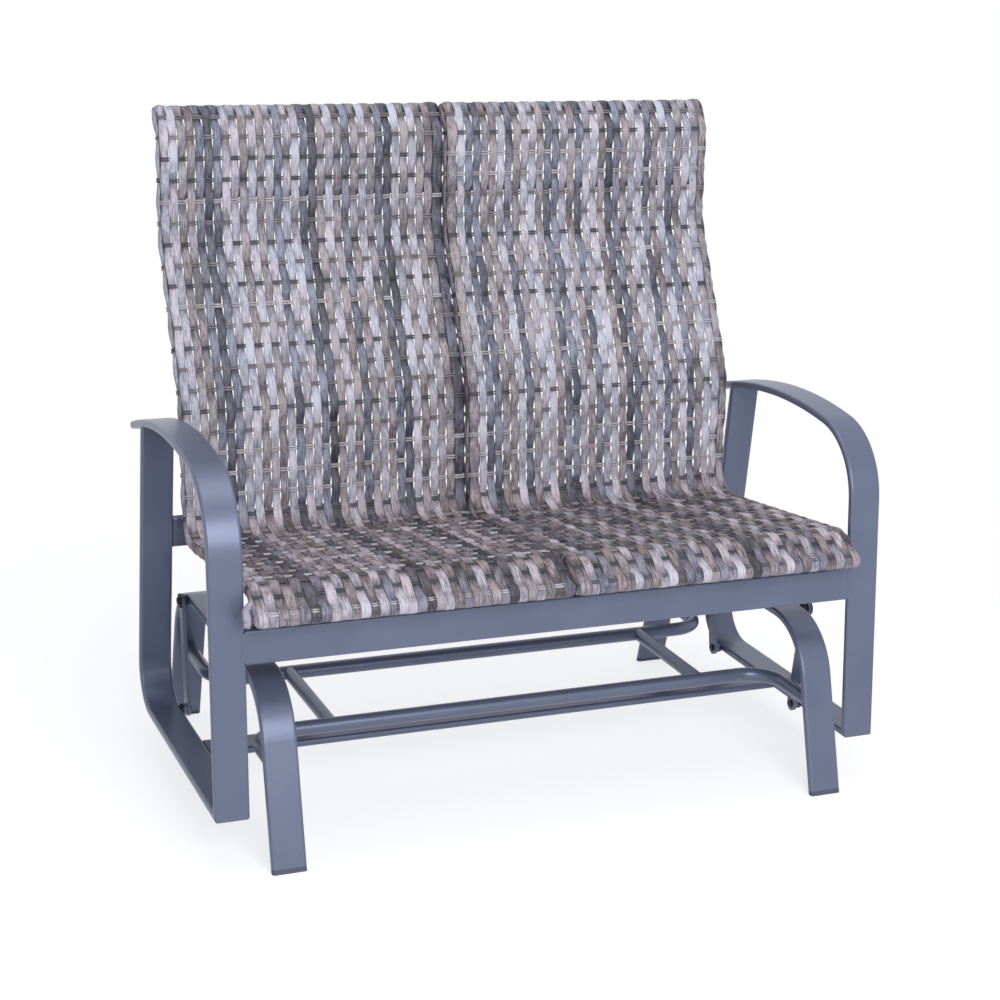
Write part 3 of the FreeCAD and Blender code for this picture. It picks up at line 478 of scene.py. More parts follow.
def arithmetic(tree, operation, first, second=0.0):
    """A sum, product or other step on two values."""
    node = tree.nodes.new("ShaderNodeMath")
    node.operation = operation
    for socket, value in zip(node.inputs, (first, second)):
        if isinstance(value, (int, float)):
            socket.default_value = value
        else:
            tree.links.new(value, socket)
    return node.outputs[0]


def stretched_noise(tree, vector, scale, detail, roughness):
    """Noise with its own scale along each axis."""
    mapping = tree.nodes.new("ShaderNodeMapping")
    mapping.inputs["Scale"].default_value = scale
    noise = tree.nodes.new("ShaderNodeTexNoise")
    noise.inputs["Scale"].default_value = 1.0
    noise.inputs["Detail"].default_value = detail
    noise.inputs["Roughness"].default_value = roughness
    link(
        tree,
        (
            (vector, mapping.inputs["Vector"]),
            (mapping.outputs[0], noise.inputs["Vector"]),
        ),
    )
    return noise.outputs["Fac"]


def resin_grain_group():
    """Lengthwise streaks and blotches, a tone of its own for each length of resin, and
    painted shade at each strand's edges and where it passes under the cords.

    The first coordinate counts pairs of strands across the panel, the second
    pairs of rows down it.
    """
    group = bpy.data.node_groups.new("resin_grain", "ShaderNodeTree")
    add_socket(group, "Along and across", "NodeSocketVector", "INPUT")
    for name in ("Streaks", "Blotches", "Tone", "Hue", "Edges", "Dips"):
        add_socket(group, name, "NodeSocketFloat", "OUTPUT")
    entry = group.nodes.new("NodeGroupInput")
    leave = group.nodes.new("NodeGroupOutput")
    place = entry.outputs[0]
    parts = group.nodes.new("ShaderNodeSeparateXYZ")
    joined = group.nodes.new("ShaderNodeCombineXYZ")
    link(group, ((place, parts.inputs[0]),))
    doubled = arithmetic(group, "MULTIPLY", parts.outputs["X"], 2.0)
    number = arithmetic(group, "FLOOR", doubled)
    # Painted shade towards each strand's edges
    across = arithmetic(group, "SUBTRACT", arithmetic(group, "FRACT", doubled), 0.5)
    reach = arithmetic(group, "MULTIPLY", arithmetic(group, "ABSOLUTE", across), 2.0)
    edges = arithmetic(group, "POWER", reach, 5.0)
    # Painted shade where a strand passes under the cords, by the phase of its wave
    halves = arithmetic(group, "MULTIPLY", number, 0.5)
    phase = arithmetic(group, "ADD", parts.outputs["Y"], halves)
    angle = arithmetic(group, "MULTIPLY", phase, 2 * math.pi)
    wave = arithmetic(group, "COSINE", angle)
    dip_shade = arithmetic(group, "MULTIPLY", arithmetic(group, "SUBTRACT", 1.0, wave), 0.5)
    link(
        group,
        ((number, joined.inputs["X"]), (parts.outputs["Y"], joined.inputs["Y"])),
    )
    streaks = stretched_noise(group, place, (19.0, 3.0, 1.0), 5.0, 0.8)
    blotches = stretched_noise(group, place, (6.0, 5.0, 1.0), 6.0, 0.65)
    tone = stretched_noise(group, joined.outputs[0], (20.3, 0.7, 1.0), 1.0, 0.5)
    hue = stretched_noise(group, joined.outputs[0], (-13.7, 0.9, 1.0), 1.0, 0.5)
    link(
        group,
        (
            (streaks, leave.inputs["Streaks"]),
            (blotches, leave.inputs["Blotches"]),
            (tone, leave.inputs["Tone"]),
            (hue, leave.inputs["Hue"]),
            (edges, leave.inputs["Edges"]),
            (arithmetic(group, "POWER", dip_shade, 2.0), leave.inputs["Dips"]),
        ),
    )
    return group


FINE_TEXTURE = fine_texture_group()
RESIN_GRAIN = resin_grain_group()


def new_material(name):
    """A material with its shader and the output."""
    material = bpy.data.materials.new(name)
    material.use_nodes = True
    tree = material.node_tree
    tree.nodes.clear()
    shader = tree.nodes.new("ShaderNodeBsdfPrincipled")
    output = tree.nodes.new("ShaderNodeOutputMaterial")
    link(tree, ((shader.outputs[0], output.inputs["Surface"]),))
    return material, tree, shader


def place_group(tree, group, **values):
    """Puts a node group into a material with its own values."""
    node = tree.nodes.new("ShaderNodeGroup")
    node.node_tree = group
    for name, value in values.items():
        node.inputs[name.replace("_", " ")].default_value = value
    return node


def ramp(tree, source, stops):
    """A colour ramp fed by a value."""
    node = tree.nodes.new("ShaderNodeValToRGB")
    points = node.color_ramp.elements
    while len(points) < len(stops):
        points.new(0.5)
    for point, (position, colour) in zip(points, stops):
        point.position = position
        point.color = (*colour, 1.0)
    link(tree, ((source, node.inputs["Fac"]),))
    return node.outputs["Color"]


def spread(tree, source, low, high):
    """Maps a value from 0.3 to 0.7 onto a range."""
    node = tree.nodes.new("ShaderNodeMapRange")
    node.inputs["From Min"].default_value = 0.3
    node.inputs["From Max"].default_value = 0.7
    node.inputs["To Min"].default_value = low
    node.inputs["To Max"].default_value = high
    link(tree, ((source, node.inputs["Value"]),))
    return node.outputs["Result"]


def roughen(tree, shader, height, strength, distance):
    """Bumps the shader's normal by a height."""
    bump = tree.nodes.new("ShaderNodeBump")
    bump.inputs["Strength"].default_value = strength
    bump.inputs["Distance"].default_value = distance
    link(
        tree,
        ((height, bump.inputs["Height"]), (bump.outputs[0], shader.inputs["Normal"])),
    )


def coated(name, dark, light, rough, metallic, grit, bump):
    """A coated or moulded surface: two close tones in soft clouds over fine grit."""
    material, tree, shader = new_material(name)
    place = tree.nodes.new("ShaderNodeTexCoord")
    texture = place_group(tree, FINE_TEXTURE, Grit_scale=grit)
    link(tree, ((place.outputs["Object"], texture.inputs["Vector"]),))
    colour = ramp(tree, texture.outputs["Clouds"], ((0.3, dark), (0.7, light)))
    roughness = spread(tree, texture.outputs["Grit"], rough - 0.05, rough + 0.05)
    link(
        tree,
        (
            (colour, shader.inputs["Base Color"]),
            (roughness, shader.inputs["Roughness"]),
        ),
    )
    shader.inputs["Metallic"].default_value = metallic
    roughen(tree, shader, texture.outputs["Grit"], bump, 0.0004)
    return material


def resin(name, deep, mid, pale, strand=True):
    """Extruded resin: streaks along the length between three tones.

    A strand is darker at its edges and where it passes under the cords, and
    browner on the seat than on the back, all of it painted shade.
    """
    material, tree, shader = new_material(name)
    uv = tree.nodes.new("ShaderNodeUVMap")
    uv.uv_map = "UVMap"
    grain = place_group(tree, RESIN_GRAIN)
    link(tree, ((uv.outputs["UV"], grain.inputs[0]),))
    value = GRAIN_MIDDLE
    for output, weight in GRAIN_WEIGHTS if strand else CORD_WEIGHTS:
        # The painted edge and dip shade count from nothing, the grain from its middle
        level = 0.0 if output in ("Edges", "Dips") else 0.5
        change = arithmetic(tree, "SUBTRACT", grain.outputs[output], level)
        part = arithmetic(tree, "MULTIPLY", change, weight)
        value = arithmetic(tree, "ADD", part, value)
    colour = ramp(tree, value, ((0.4, deep), (0.5, mid), (0.6, pale)))
    hue = ramp(tree, grain.outputs["Hue"], ((0.42, WARM_CAST), (0.58, COOL_CAST)))
    colour = multiplied(tree, colour, hue)
    # Painted shade on the seat, and where strands pass under the cords
    if strand:
        colour = seat_painted_shade(tree, uv, colour, grain.outputs["Dips"])
    roughness = spread(tree, grain.outputs["Blotches"], 0.36, 0.56)
    link(
        tree,
        (
            (colour, shader.inputs["Base Color"]),
            (roughness, shader.inputs["Roughness"]),
        ),
    )
    roughen(tree, shader, grain.outputs["Streaks"], 0.6, 0.0008)
    return material


def colour_socket(sockets, name):
    """The colour socket of a Mix node."""
    return next(
        place for place in sockets if place.name == name and place.type == "RGBA"
    )


def multiplied(tree, colour, cast, share=1.0):
    """A colour multiplied by another, wholly or in part."""
    node = tree.nodes.new("ShaderNodeMix")
    node.data_type = "RGBA"
    node.blend_type = "MULTIPLY"
    link(tree, ((colour, colour_socket(node.inputs, "A")),))
    if isinstance(cast, tuple):
        colour_socket(node.inputs, "B").default_value = (*cast, 1.0)
    else:
        link(tree, ((cast, colour_socket(node.inputs, "B")),))
    if isinstance(share, float):
        node.inputs["Factor"].default_value = share
    else:
        link(tree, ((share, node.inputs["Factor"]),))
    return colour_socket(node.outputs, "Result")


def seat_painted_shade(tree, uv, colour, dip_shade):
    """Paints shade on the seat from hip to nose: deeper, greyer and browner, and deeper
    still where a strand passes under the cords.
    """
    parts = tree.nodes.new("ShaderNodeSeparateXYZ")
    link(tree, ((uv.outputs["UV"], parts.inputs[0]),))
    shares = []
    for first, low, high in ((HIP_PAIR, 0.0, 1.0), (NOSE_PAIR, 1.0, NOSE_SHADE_SHARE)):
        share = tree.nodes.new("ShaderNodeMapRange")
        share.inputs["From Min"].default_value = first
        share.inputs["From Max"].default_value = first + SEAT_SHADE_FADE
        share.inputs["To Min"].default_value = low
        share.inputs["To Max"].default_value = high
        link(tree, ((parts.outputs["Y"], share.inputs["Value"]),))
        shares.append(share.outputs["Result"])
    share = arithmetic(tree, "MULTIPLY", *shares)
    deeper = tree.nodes.new("ShaderNodeGamma")
    gain = arithmetic(tree, "MULTIPLY", share, SEAT_SHADE_CONTRAST)
    power = arithmetic(tree, "ADD", gain, 1.0)
    link(tree, ((colour, deeper.inputs["Color"]), (power, deeper.inputs["Gamma"])))
    greyer = tree.nodes.new("ShaderNodeHueSaturation")
    loss = arithmetic(tree, "MULTIPLY", share, SEAT_SHADE_GREYNESS)
    link(
        tree,
        (
            (deeper.outputs["Color"], greyer.inputs["Color"]),
            (arithmetic(tree, "SUBTRACT", 1.0, loss), greyer.inputs["Saturation"]),
        ),
    )
    colour = multiplied(tree, greyer.outputs["Color"], SEAT_SHADE_TINT, share)
    # Painted shade, deeper on the seat, where a strand passes under the cords
    return multiplied(tree, colour, SEAT_DIP_SHADE, arithmetic(tree, "MULTIPLY", share, dip_shade))


POWDER_COAT = coated(
    "powder_coat", (0.134, 0.158, 0.244), (0.15, 0.177, 0.27), 0.34, 0.3, 1400.0, 0.12
)
CAP_PLASTIC = coated(
    "cap_plastic", (0.088, 0.102, 0.155), (0.103, 0.119, 0.179), 0.5, 0.0, 900.0, 0.1
)
FOOT_PLASTIC = coated(
    "foot_plastic", (0.07, 0.082, 0.125), (0.085, 0.098, 0.148), 0.5, 0.0, 900.0, 0.1
)
BLACK_NYLON = coated(
    "black_nylon", (0.014, 0.014, 0.016), (0.022, 0.022, 0.025), 0.5, 0.0, 700.0, 0.15
)
DARK_STEEL = coated(
    "dark_steel", (0.05, 0.05, 0.055), (0.08, 0.08, 0.085), 0.35, 0.9, 1800.0, 0.1
)
RESINS = {
    "L": resin(
        "light_grey_resin",
        (0.218, 0.205, 0.249),
        (0.436, 0.427, 0.522),
        (0.676, 0.666, 0.777),
    ),
    "T": resin(
        "taupe_resin",
        (0.108, 0.091, 0.102),
        (0.27, 0.238, 0.272),
        (0.478, 0.438, 0.494),
    ),
    "S": resin(
        "slate_resin",
        (0.049, 0.052, 0.074),
        (0.158, 0.167, 0.232),
        (0.327, 0.344, 0.452),
    ),
    "C": resin(
        "charcoal_resin",
        (0.024, 0.023, 0.035),
        (0.076, 0.077, 0.109),
        (0.185, 0.186, 0.255),
    ),
}
CORDS = {
    "d": resin(
        "dark_cord",
        (0.025, 0.03, 0.042),
        (0.06, 0.065, 0.085),
        (0.1, 0.105, 0.14),
        strand=False,
    ),
    "m": resin(
        "grey_cord",
        (0.1, 0.092, 0.1),
        (0.2, 0.185, 0.2),
        (0.31, 0.29, 0.31),
        strand=False,
    ),
    "b": resin(
        "brown_cord",
        (0.14, 0.12, 0.128),
        (0.26, 0.23, 0.242),
        (0.39, 0.355, 0.37),
        strand=False,
    ),
    "p": resin(
        "pale_cord",
        (0.33, 0.31, 0.335),
        (0.48, 0.455, 0.49),
        (0.62, 0.595, 0.63),
        strand=False,
    ),
}

SLOT_MATERIALS = {
    "powder_coat": POWDER_COAT,
    "cap_plastic": CAP_PLASTIC,
    "black_plastic": BLACK_NYLON,
    "dark_steel": DARK_STEEL,
}


def finish_nodes():
    """Gives every CAD node the finish of its slot."""
    for name, node in nodes.items():
        for place in node.material_slots:
            wanted = place.material.name if place.material else ""
            for slot, material in SLOT_MATERIALS.items():
                if slot in wanted:
                    place.material = material
            if name.startswith("foot_glide"):
                place.material = FOOT_PLASTIC


def upright_grid(name, columns, rows, centre=(0.0, 0.0, 0.0)):
    """A grid of faces one metre wide and high, in the plane of X and Z."""
    clear_selection()
    bpy.ops.mesh.primitive_grid_add(
        x_subdivisions=columns,
        y_subdivisions=rows,
        size=1.0,
        location=centre,
        rotation=(QUARTER_TURN, 0, 0),
    )
    grid = bpy.context.object
    grid.name = name
    bpy.ops.object.transform_apply(location=True, rotation=True, scale=True)
    return grid


def dip(step, odd):
    """How far a strand is over (1) or under (-1) the cords, by sixths of a row."""
    return math.cos(math.pi * (step / ROW_STEPS + odd))


def under(step, odd):
    """How far a strand is tucked in at the sides where it passes under the cords."""
    return min(1.0, TUCK_GAIN * max(-dip(step, odd), 0.0))


def flat_strip(name, odd):
    """One strand over two rows of cords, laid flat: X across, Z down the panel."""
    strip = upright_grid(name, 4, 2 * ROW_STEPS, (0.0, 0.0, 0.5))
    squeeze(strip, everywhere, (STRAND_WIDTH, 1.0, 2 * ROW_PITCH), (0, 0, 0))
    quarter = STRAND_WIDTH / 4
    squeeze(
        strip,
        lambda co: abs(abs(co.x) - quarter) < NEAR,
        (STRAND_LINES, 1.0, 1.0),
        (0, 0, 0),
    )
    edge = 1.9 * quarter
    shift(strip, lambda co: abs(co.x) > edge, (0, -STRAND_EDGE_DROP, 0))
    shift(strip, lambda co: abs(co.x) < NEAR, (0, STRAND_CROWN, 0))
    for step in range(2 * ROW_STEPS + 1):
        level = step * ROW_PITCH / ROW_STEPS
        share = 1.0 - BACK_PINCH * under(step, odd)
        rise = dip(step, odd) * STRAND_WAVE
        squeeze(strip, lambda co: abs(co.z - level) < NEAR, (share, 1, 1), (0, 0, 0))
        shift(strip, lambda co: abs(co.z - level) < NEAR, (0, rise, 0))
    for corner in strip.data.uv_layers[0].data:
        corner.uv.x = corner.uv.x / 2 + 0.5 * odd
    return strip


def close_slits(strip, odd, start, end, widen, wave, deepest_cup):
    """Spreads a strand over part of its run and cups it, so no slits are left there."""
    first = int((start - STRIP_TOP) / ROW_PITCH * ROW_STEPS)
    last = int((end - STRIP_TOP) / ROW_PITCH * ROW_STEPS) + 1
    for step in range(first, last):
        level = step * ROW_PITCH / ROW_STEPS
        share = widen / (1.0 - BACK_PINCH * under(step, odd))
        cup = deepest_cup * under(step, odd)
        edge = 0.4 * STRAND_WIDTH * widen
        squeeze(
            strip,
            lambda co: abs(co.z - level) < NEAR,
            (share, wave, 1),
            (0, 0, 0),
        )
        if cup:
            shift(
                strip,
                lambda co: abs(co.z - level) < NEAR and abs(co.x) > edge,
                (0, cup, 0),
            )


def flat_strands(name):
    """All strands of a panel laid flat, from the tucked top end down."""
    pairs = math.ceil((SHEET_LENGTH - STRIP_TOP) / (2 * ROW_PITCH))
    sets = []
    for odd, count in ((0, (STRANDS + 1) // 2), (1, STRANDS // 2)):
        strip = flat_strip(name if not odd else name + "_odd", odd)
        repeat(strip, pairs, (0, 0, 2 * ROW_PITCH), True, (0.0, 1.0))
        close_slits(strip, odd, HIP_RUN, SHEET_LENGTH, SEAT_SPREAD, SEAT_WAVE, SEAT_CUP)
        close_slits(strip, odd, STRIP_TOP, TOP_WRAP, TOP_SPREAD, 1.0, 0.0)
        shift(strip, everywhere, (odd * STRAND_PITCH, 0, 0))
        repeat(strip, count, (2 * STRAND_PITCH, 0, 0), False, (1.0, 0.0))
        sets.append(strip)
    sheet = choose(sets[1], sets[0])
    bpy.ops.object.join()
    shift(sheet, everywhere, (0, 0, STRIP_TOP))
    cut_off(sheet, 0.0, keep_below=False)
    cut_off(sheet, SHEET_LENGTH, keep_below=True)
    ring = ROW_PITCH / ROW_STEPS
    height = STRIP_TOP + ring / 2
    while height < SHEET_LENGTH:
        if 0 < height < TOP_WRAP or height > NOSE_RUN - ring:
            score(sheet, height)
        height += ring
    last_row = FIRST_ROW + (ROWS - 1) * ROW_PITCH
    squeeze(
        sheet,
        lambda co: co.z < FIRST_ROW - ROW_PITCH / 2 or co.z > last_row + ROW_PITCH / 2,
        (1.0, END_WAVE, 1.0),
        (0, 0, 0),
    )
    squeeze(
        sheet,
        lambda co: last_row - ROW_PITCH / 2 < co.z <= last_row + ROW_PITCH / 2,
        (1.0, LAST_ROW_WAVE, 1.0),
        (0, 0, 0),
    )
    shift(sheet, lambda co: co.z > NOSE_RUN - NOSE_LIFT_RUN, (0, NOSE_LIFT, 0))
    left = SIDE_STRANDS * STRAND_PITCH
    right = (STRANDS - 1) * STRAND_PITCH - left
    squeeze(
        sheet,
        lambda co: co.x < left or co.x > right,
        (1.0, SIDE_WAVE, 1.0),
        (0, 0, 0),
    )
    steps = 4
    for step in range(1, steps + 1):
        reach = FIRST_ROW - step / steps * TOP_LEAN_RUN
        shift(sheet, lambda co: co.z < reach, (-TOP_LEAN / steps, 0, 0))
    return sheet


def wander(piece, seed_shift):
    """Lets the strands wander a little sideways."""
    choose(piece)
    clouds = bpy.data.textures.new("wander", "CLOUDS")
    clouds.noise_scale = WANDER_SCALE
    shift(piece, everywhere, (seed_shift, 0, 0))
    choose(piece)
    bpy.ops.object.modifier_add(type="DISPLACE")
    drift = piece.modifiers[-1]
    drift.texture = clouds
    drift.direction = "X"
    drift.strength = WANDER
    bpy.ops.object.modifier_apply(modifier=drift.name)
    shift(piece, everywhere, (-seed_shift, 0, 0))
    bpy.data.textures.remove(clouds)


def draw_out(piece, wanted, reach, radius):
    """Moves the points that pass the test sideways, and their neighbours with them."""
    pick(piece, wanted)
    bpy.ops.transform.translate(
        value=(reach, 0, 0),
        use_proportional_edit=True,
        proportional_edit_falloff="SMOOTH",
        proportional_size=radius,
    )
    clear_selection()


def onto_panel(piece, side, back_reach, nose_reach):
    """Bends a flat piece round the rails and along the panel, then sets it in place."""
    bend_along(piece, CROSS)
    edge = (OUTER_RAIL - INNER_RAIL) / 2 + PAST_RAIL
    bore = RAIL_BORE - FIELD_LEVEL
    squeeze(
        piece,
        lambda co: abs(co.x) > edge
        and co.y < bore
        and (co.z < TOP_WRAP or co.z > NOSE_RUN),
        (1.0, 0.0, 1.0),
        (0, bore, 0),
    )
    settle(piece, ((0, 0, 1), (0, 1, 0), (-1, 0, 0)), (SHEET_LENGTH, 0, 0))
    bend_along(piece, SHEET)
    middle = side * (INNER_RAIL + OUTER_RAIL) / 2
    settle(piece, ((0, 1, 0), (0, 0, 1), (1, 0, 0)), (middle, 0, 0))
    for reach in INNER_PULL_STEPS:
        shift(
            piece,
            lambda co: abs(co.x) < INNER_RAIL - reach,
            (-INNER_PULL / len(INNER_PULL_STEPS) * side, 0, 0),
        )
    outer = OUTER_RAIL + PAST_RAIL
    draw_out(
        piece,
        lambda co: abs(co.x) > outer and co.z > BACK_FROM,
        back_reach * side,
        BACK_DRAW_RADIUS,
    )
    draw_out(
        piece,
        lambda co: abs(co.x) > outer and co.y < NOSE_FROM,
        nose_reach * side,
        NOSE_DRAW_RADIUS,
    )


def weave_strands(name, side, colours, seed_shift, reaches):
    """The flat strands of one panel, bent over its frame."""
    sheet = flat_strands(name)
    wander(sheet, seed_shift)
    kinds = list(RESINS)
    for kind in kinds:
        sheet.data.materials.append(RESINS[kind])
    for face in sheet.data.polygons:
        index = round(face.center.x / STRAND_PITCH)
        face.material_index = kinds.index(colours[max(0, min(index, STRANDS - 1))])
    thicken(sheet, STRAND_THICKNESS)
    start = (CROSS_LENGTH - (STRANDS - 1) * STRAND_PITCH) / 2
    shift(sheet, everywhere, (start, 0, 0))
    onto_panel(sheet, side, *reaches)
    smooth(sheet, 50)
    return sheet


def weave_cords(name, side, colours, reaches):
    """The pairs of round cords across one panel."""
    clear_selection()
    bpy.ops.mesh.primitive_circle_add(
        vertices=CORD_SIDES, radius=CORD_RADIUS, rotation=(0, QUARTER_TURN, 0)
    )
    cord = bpy.context.object
    cord.name = name
    bpy.ops.object.transform_apply(location=True, rotation=True, scale=True)
    middle = CROSS_LENGTH - 2 * CORD_END_STEPS * CORD_END_STEP
    end_steps = [CORD_END_STEP] * CORD_END_STEPS
    middle_steps = [middle / CORD_MIDDLE_STEPS] * CORD_MIDDLE_STEPS
    pick(cord, everywhere)
    for step in end_steps + middle_steps + end_steps:
        bpy.ops.mesh.extrude_region_move(TRANSFORM_OT_translate={"value": (step, 0, 0)})
    clear_selection()
    for end in (0.0, CROSS_LENGTH):
        pick(cord, lambda co: abs(co.x - end) < NEAR)
        bpy.ops.mesh.edge_face_add()
        clear_selection()
    pick(cord, everywhere)
    bpy.ops.mesh.normals_make_consistent(inside=False)
    bpy.ops.uv.cube_project(cube_size=0.05)
    clear_selection()
    shift(cord, everywhere, (0, 0, FIRST_ROW - CORD_SPACING / 2))
    repeat(cord, 2, (0, 0, CORD_SPACING))
    repeat(cord, ROWS, (0, 0, ROW_PITCH))
    kinds = list(CORDS)
    for kind in kinds:
        cord.data.materials.append(CORDS[kind])
    for face in cord.data.polygons:
        row = round((face.center.z - FIRST_ROW) / ROW_PITCH)
        face.material_index = kinds.index(colours[min(row, len(colours) - 1)])
    onto_panel(cord, side, *reaches)
    smooth(cord, 70)
    return cord


def tucked_strand_end(name):
    """The end of one strand that stands out beside the left panel's nose."""
    run = length_of(STRAND_END_LINE)
    strip = upright_grid(name, 14, 4, (0.5, 0.0, 0.0))
    squeeze(strip, everywhere, (run, 1.0, STRAND_END_WIDTH), (0, 0, 0))
    edge = 0.49 * STRAND_END_WIDTH
    shift(strip, lambda co: abs(co.z) > edge, (0, -STRAND_EDGE_DROP, 0))
    for tip in (0.0, run):
        squeeze(
            strip,
            lambda co: abs(co.x - tip) < STRAND_END_TIP,
            (1, 1, STRAND_END_TAPER),
            (0, 0, 0),
        )
    for corner in strip.data.uv_layers[0].data:
        corner.uv = (corner.uv.y / 2, NOSE_PAIR + corner.uv.x)
    strip.data.materials.append(RESINS["L"])
    thicken(strip, STRAND_THICKNESS)
    bend_along(strip, STRAND_END_LINE)
    settle(strip, ((0, 1, 0), (0, 0, 1), (1, 0, 0)), (-STRAND_END_PLACE, 0, 0))
    draw_out(
        strip,
        lambda co: co.y > STRAND_END_FROM,
        STRAND_END_PLACE - OUTER_RAIL - RAIL_LEVEL,
        STRAND_END_DRAW_RADIUS,
    )
    smooth(strip, 50)
    return strip


def rail_welds(name, low, high, out):
    """Welds that fill the grooves where a flat rail meets the rounded side loops."""
    bead = upright_grid(name, WELD_COLUMNS, WELD_ROWS)
    height = high[1] - low[1]
    squeeze(bead, everywhere, (WELD_WIDTH, 1.0, height), (0, 0, 0))
    shift(bead, lambda co: abs(co.x) < WELD_WIDTH / 8, (0, -WELD_SINK * out, 0))
    pick(bead, everywhere)
    bpy.ops.mesh.extrude_region_move(
        TRANSFORM_OT_translate={"value": (0, -WELD_DEPTH * out, 0)}
    )
    bpy.ops.mesh.select_all(action="SELECT")
    bpy.ops.mesh.normals_make_consistent(inside=False)
    clear_selection()
    for row in range(WELD_ROWS + 1):
        level = height * (row / WELD_ROWS - 0.5)
        along = low[0] + (high[0] - low[0]) * row / WELD_ROWS
        shift(bead, lambda co: abs(co.z - level) < NEAR, (0, along, 0))
    middle = (low[1] + high[1]) / 2
    shift(bead, everywhere, (LOOP_INNER_FACE + WELD_CENTRE, 0, middle))
    choose(bead)
    bpy.ops.object.modifier_add(type="MIRROR")
    bpy.ops.object.modifier_apply(modifier=bead.modifiers[-1].name)
    pick(bead, everywhere)
    bpy.ops.mesh.normals_make_consistent(inside=False)
    clear_selection()
    bead.data.materials.append(POWDER_COAT)
    smooth(bead, 40)
    return bead


# Colours of the strands from left to right, and of the pairs of cords from the top
LEFT_STRANDS = "L" + "LLTTSCSLLTLTLSLLSCTLTSTLTSCLTLTTC" + "C"
RIGHT_STRANDS = "T" + "TLSSTTLSTLLTSSLTSLLTCSTLLSTLSTLLT" + "L"
LEFT_CORDS = "mmddpmdmdpmdmmdmppp" + "dbbpbbpbpbbpddp"
RIGHT_CORDS = "mdppmmdpmdpppmdmppp" + "dmbdmbdbmdbdmdd"

# Each panel: side, name, colours, where its wander is read, and how far its outer
# corners are drawn out at the top and the nose
for side, name, strands, cords, seed_shift, reaches in (
    (-1, "left", LEFT_STRANDS, LEFT_CORDS, 3.1, (0.0, 8.0 * MM)),
    (1, "right", RIGHT_STRANDS, RIGHT_CORDS, 7.7, (5.0 * MM, 2.5 * MM)),
):
    sheet = weave_strands("woven_strands_" + name, side, strands, seed_shift, reaches)
    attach(sheet, "seat")
    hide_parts("woven_panel_" + name)
    cords_piece = weave_cords("woven_cords_" + name, side, cords, reaches)
    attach(cords_piece, "seat")

strand_end = tucked_strand_end("strand_end_left")
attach(strand_end, "seat")

for name, line in (("front", FRONT_RAIL_FACE), ("rear", REAR_RAIL_FACE)):
    welds = rail_welds(name + "_rail_welds", *line)
    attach(welds, "seat")

finish_nodes()


def white_for_sight(tree, lit, plain):
    """Shows one shader to sight, gloss and glass, and another to the light."""
    path = tree.nodes.new("ShaderNodeLightPath")
    seen = path.outputs["Is Camera Ray"]
    for kind in ("Is Glossy Ray", "Is Transmission Ray"):
        seen = arithmetic(tree, "MAXIMUM", seen, path.outputs[kind])
    mix = tree.nodes.new("ShaderNodeMixShader")
    link(
        tree,
        ((seen, mix.inputs[0]), (lit, mix.inputs[1]), (plain, mix.inputs[2])),
    )
    return mix.outputs[0]


def studio_world():
    """A white surround that lights the object softly."""
    world = bpy.data.worlds.new("studio")
    bpy.context.scene.world = world
    world.use_nodes = True
    tree = world.node_tree
    tree.nodes.clear()
    ambient = tree.nodes.new("ShaderNodeBackground")
    ambient.inputs["Color"].default_value = (0.95, 0.97, 1.0, 1.0)
    ambient.inputs["Strength"].default_value = AMBIENT
    white = tree.nodes.new("ShaderNodeBackground")
    white.inputs["Color"].default_value = (1.0, 1.0, 1.0, 1.0)
    white.inputs["Strength"].default_value = 1.0
    output = tree.nodes.new("ShaderNodeOutputWorld")
    shown = white_for_sight(tree, ambient.outputs[0], white.outputs[0])
    link(tree, ((shown, output.inputs["Surface"]),))


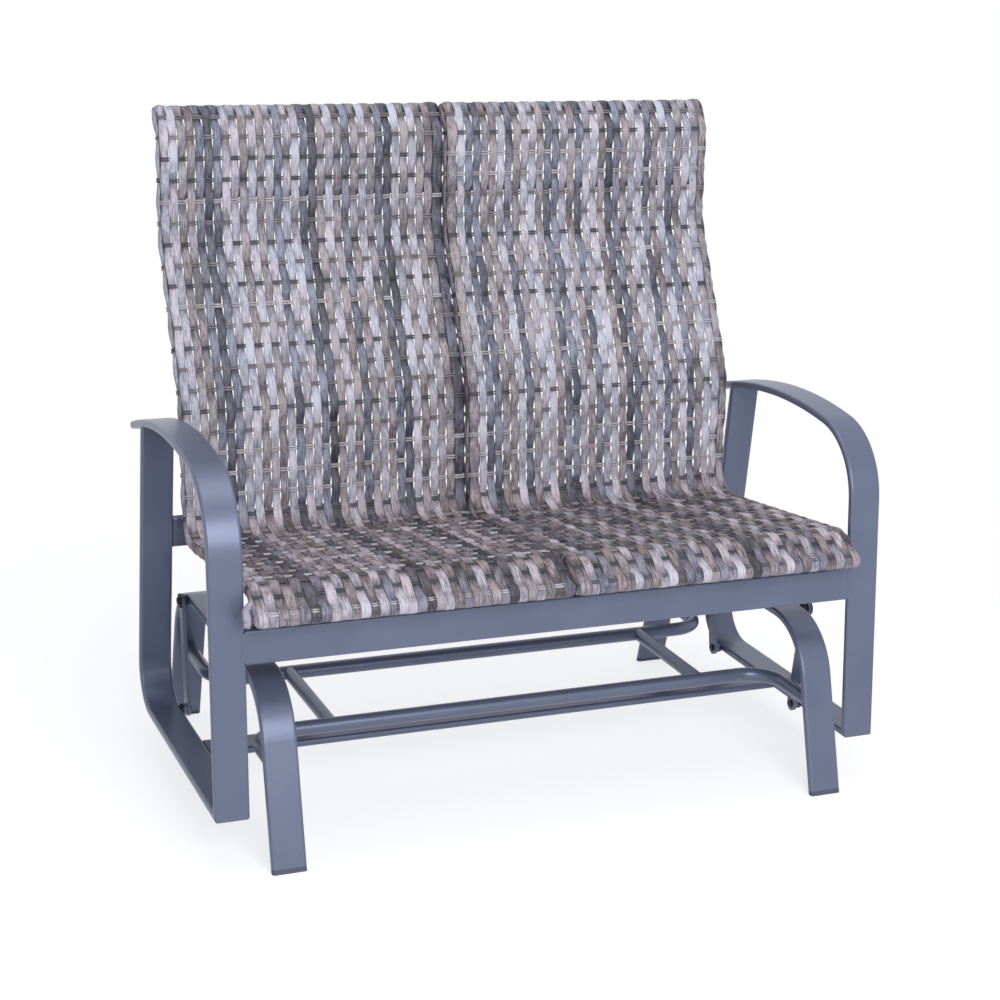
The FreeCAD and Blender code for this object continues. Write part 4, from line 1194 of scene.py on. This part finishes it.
def studio_floor():
    """A plain pale floor that keeps the shadow."""
    clear_selection()
    bpy.ops.mesh.primitive_plane_add(size=FLOOR_SIZE)
    floor = bpy.context.object
    floor.name = "studio_floor"
    material, tree, shader = new_material("pale_floor")
    shader.inputs["Base Color"].default_value = (0.9, 0.9, 0.91, 1.0)
    shader.inputs["Roughness"].default_value = 0.9
    shader.inputs["Specular IOR Level"].default_value = 0.1
    faint = tree.nodes.new("ShaderNodeBsdfPrincipled")
    faint.inputs["Base Color"].default_value = (0.5, 0.5, 0.5, 1.0)
    faint.inputs["Roughness"].default_value = 0.9
    faint.inputs["Specular IOR Level"].default_value = 0.1
    glow = tree.nodes.new("ShaderNodeEmission")
    glow.inputs["Color"].default_value = (0.975, 0.982, 1.0, 1.0)
    glow.inputs["Strength"].default_value = FLOOR_GLOW
    add = tree.nodes.new("ShaderNodeAddShader")
    place = tree.nodes.new("ShaderNodeTexCoord")
    away = tree.nodes.new("ShaderNodeVectorMath")
    away.operation = "LENGTH"
    fade = tree.nodes.new("ShaderNodeMapRange")
    fade.interpolation_type = "SMOOTHSTEP"
    fade.inputs["From Min"].default_value = FLOOR_FADE[0]
    fade.inputs["From Max"].default_value = FLOOR_FADE[1]
    white = tree.nodes.new("ShaderNodeEmission")
    white.inputs["Strength"].default_value = 1.0
    seen = tree.nodes.new("ShaderNodeMixShader")
    output = next(node for node in tree.nodes if node.type == "OUTPUT_MATERIAL")
    link(
        tree,
        (
            (faint.outputs[0], add.inputs[0]),
            (glow.outputs[0], add.inputs[1]),
            (place.outputs["Object"], away.inputs[0]),
            (away.outputs["Value"], fade.inputs["Value"]),
            (fade.outputs["Result"], seen.inputs[0]),
            (add.outputs[0], seen.inputs[1]),
            (white.outputs[0], seen.inputs[2]),
        ),
    )
    shown = white_for_sight(tree, shader.outputs[0], seen.outputs[0])
    link(tree, ((shown, output.inputs["Surface"]),))
    floor.data.materials.append(material)


def soft_lamp(name, place, power):
    """A large soft lamp."""
    data = bpy.data.lights.new(name, "AREA")
    data.shape = "SQUARE"
    data.size = LAMP_SIZE
    data.energy = power
    lamp = bpy.data.objects.new(name, data)
    bpy.context.collection.objects.link(lamp)
    lamp.location = place
    heading = Vector(LAMP_AIM) - Vector(place)
    lamp.rotation_euler = heading.to_track_quat("-Z", "Y").to_euler()


def studio_camera():
    """The camera of the photograph: place, aim, roll and focal length."""
    yaw, pitch, roll = (math.radians(turn) for turn in CAMERA_TURNS)
    flat = math.cos(pitch)
    ahead = Vector((math.sin(yaw) * flat, math.cos(yaw) * flat, -math.sin(pitch)))
    level = Vector((math.cos(yaw), -math.sin(yaw), 0.0))
    over = level.cross(ahead)
    right = level * math.cos(roll) + over * math.sin(roll)
    up = over * math.cos(roll) - level * math.sin(roll)
    data = bpy.data.cameras.new("camera")
    data.sensor_fit = "HORIZONTAL"
    data.sensor_width = 36.0
    data.lens = CAMERA_LENS
    camera = bpy.data.objects.new("camera", data)
    bpy.context.collection.objects.link(camera)
    turn = Matrix((right, up, -ahead)).transposed().to_4x4()
    camera.matrix_world = Matrix.Translation(CAMERA_PLACE) @ turn
    bpy.context.scene.camera = camera


studio_world()
studio_floor()
soft_lamp("key_lamp", *KEY_LAMP)
soft_lamp("top_lamp", *TOP_LAMP)
studio_camera()
bpy.context.scene.view_settings.view_transform = "Standard"
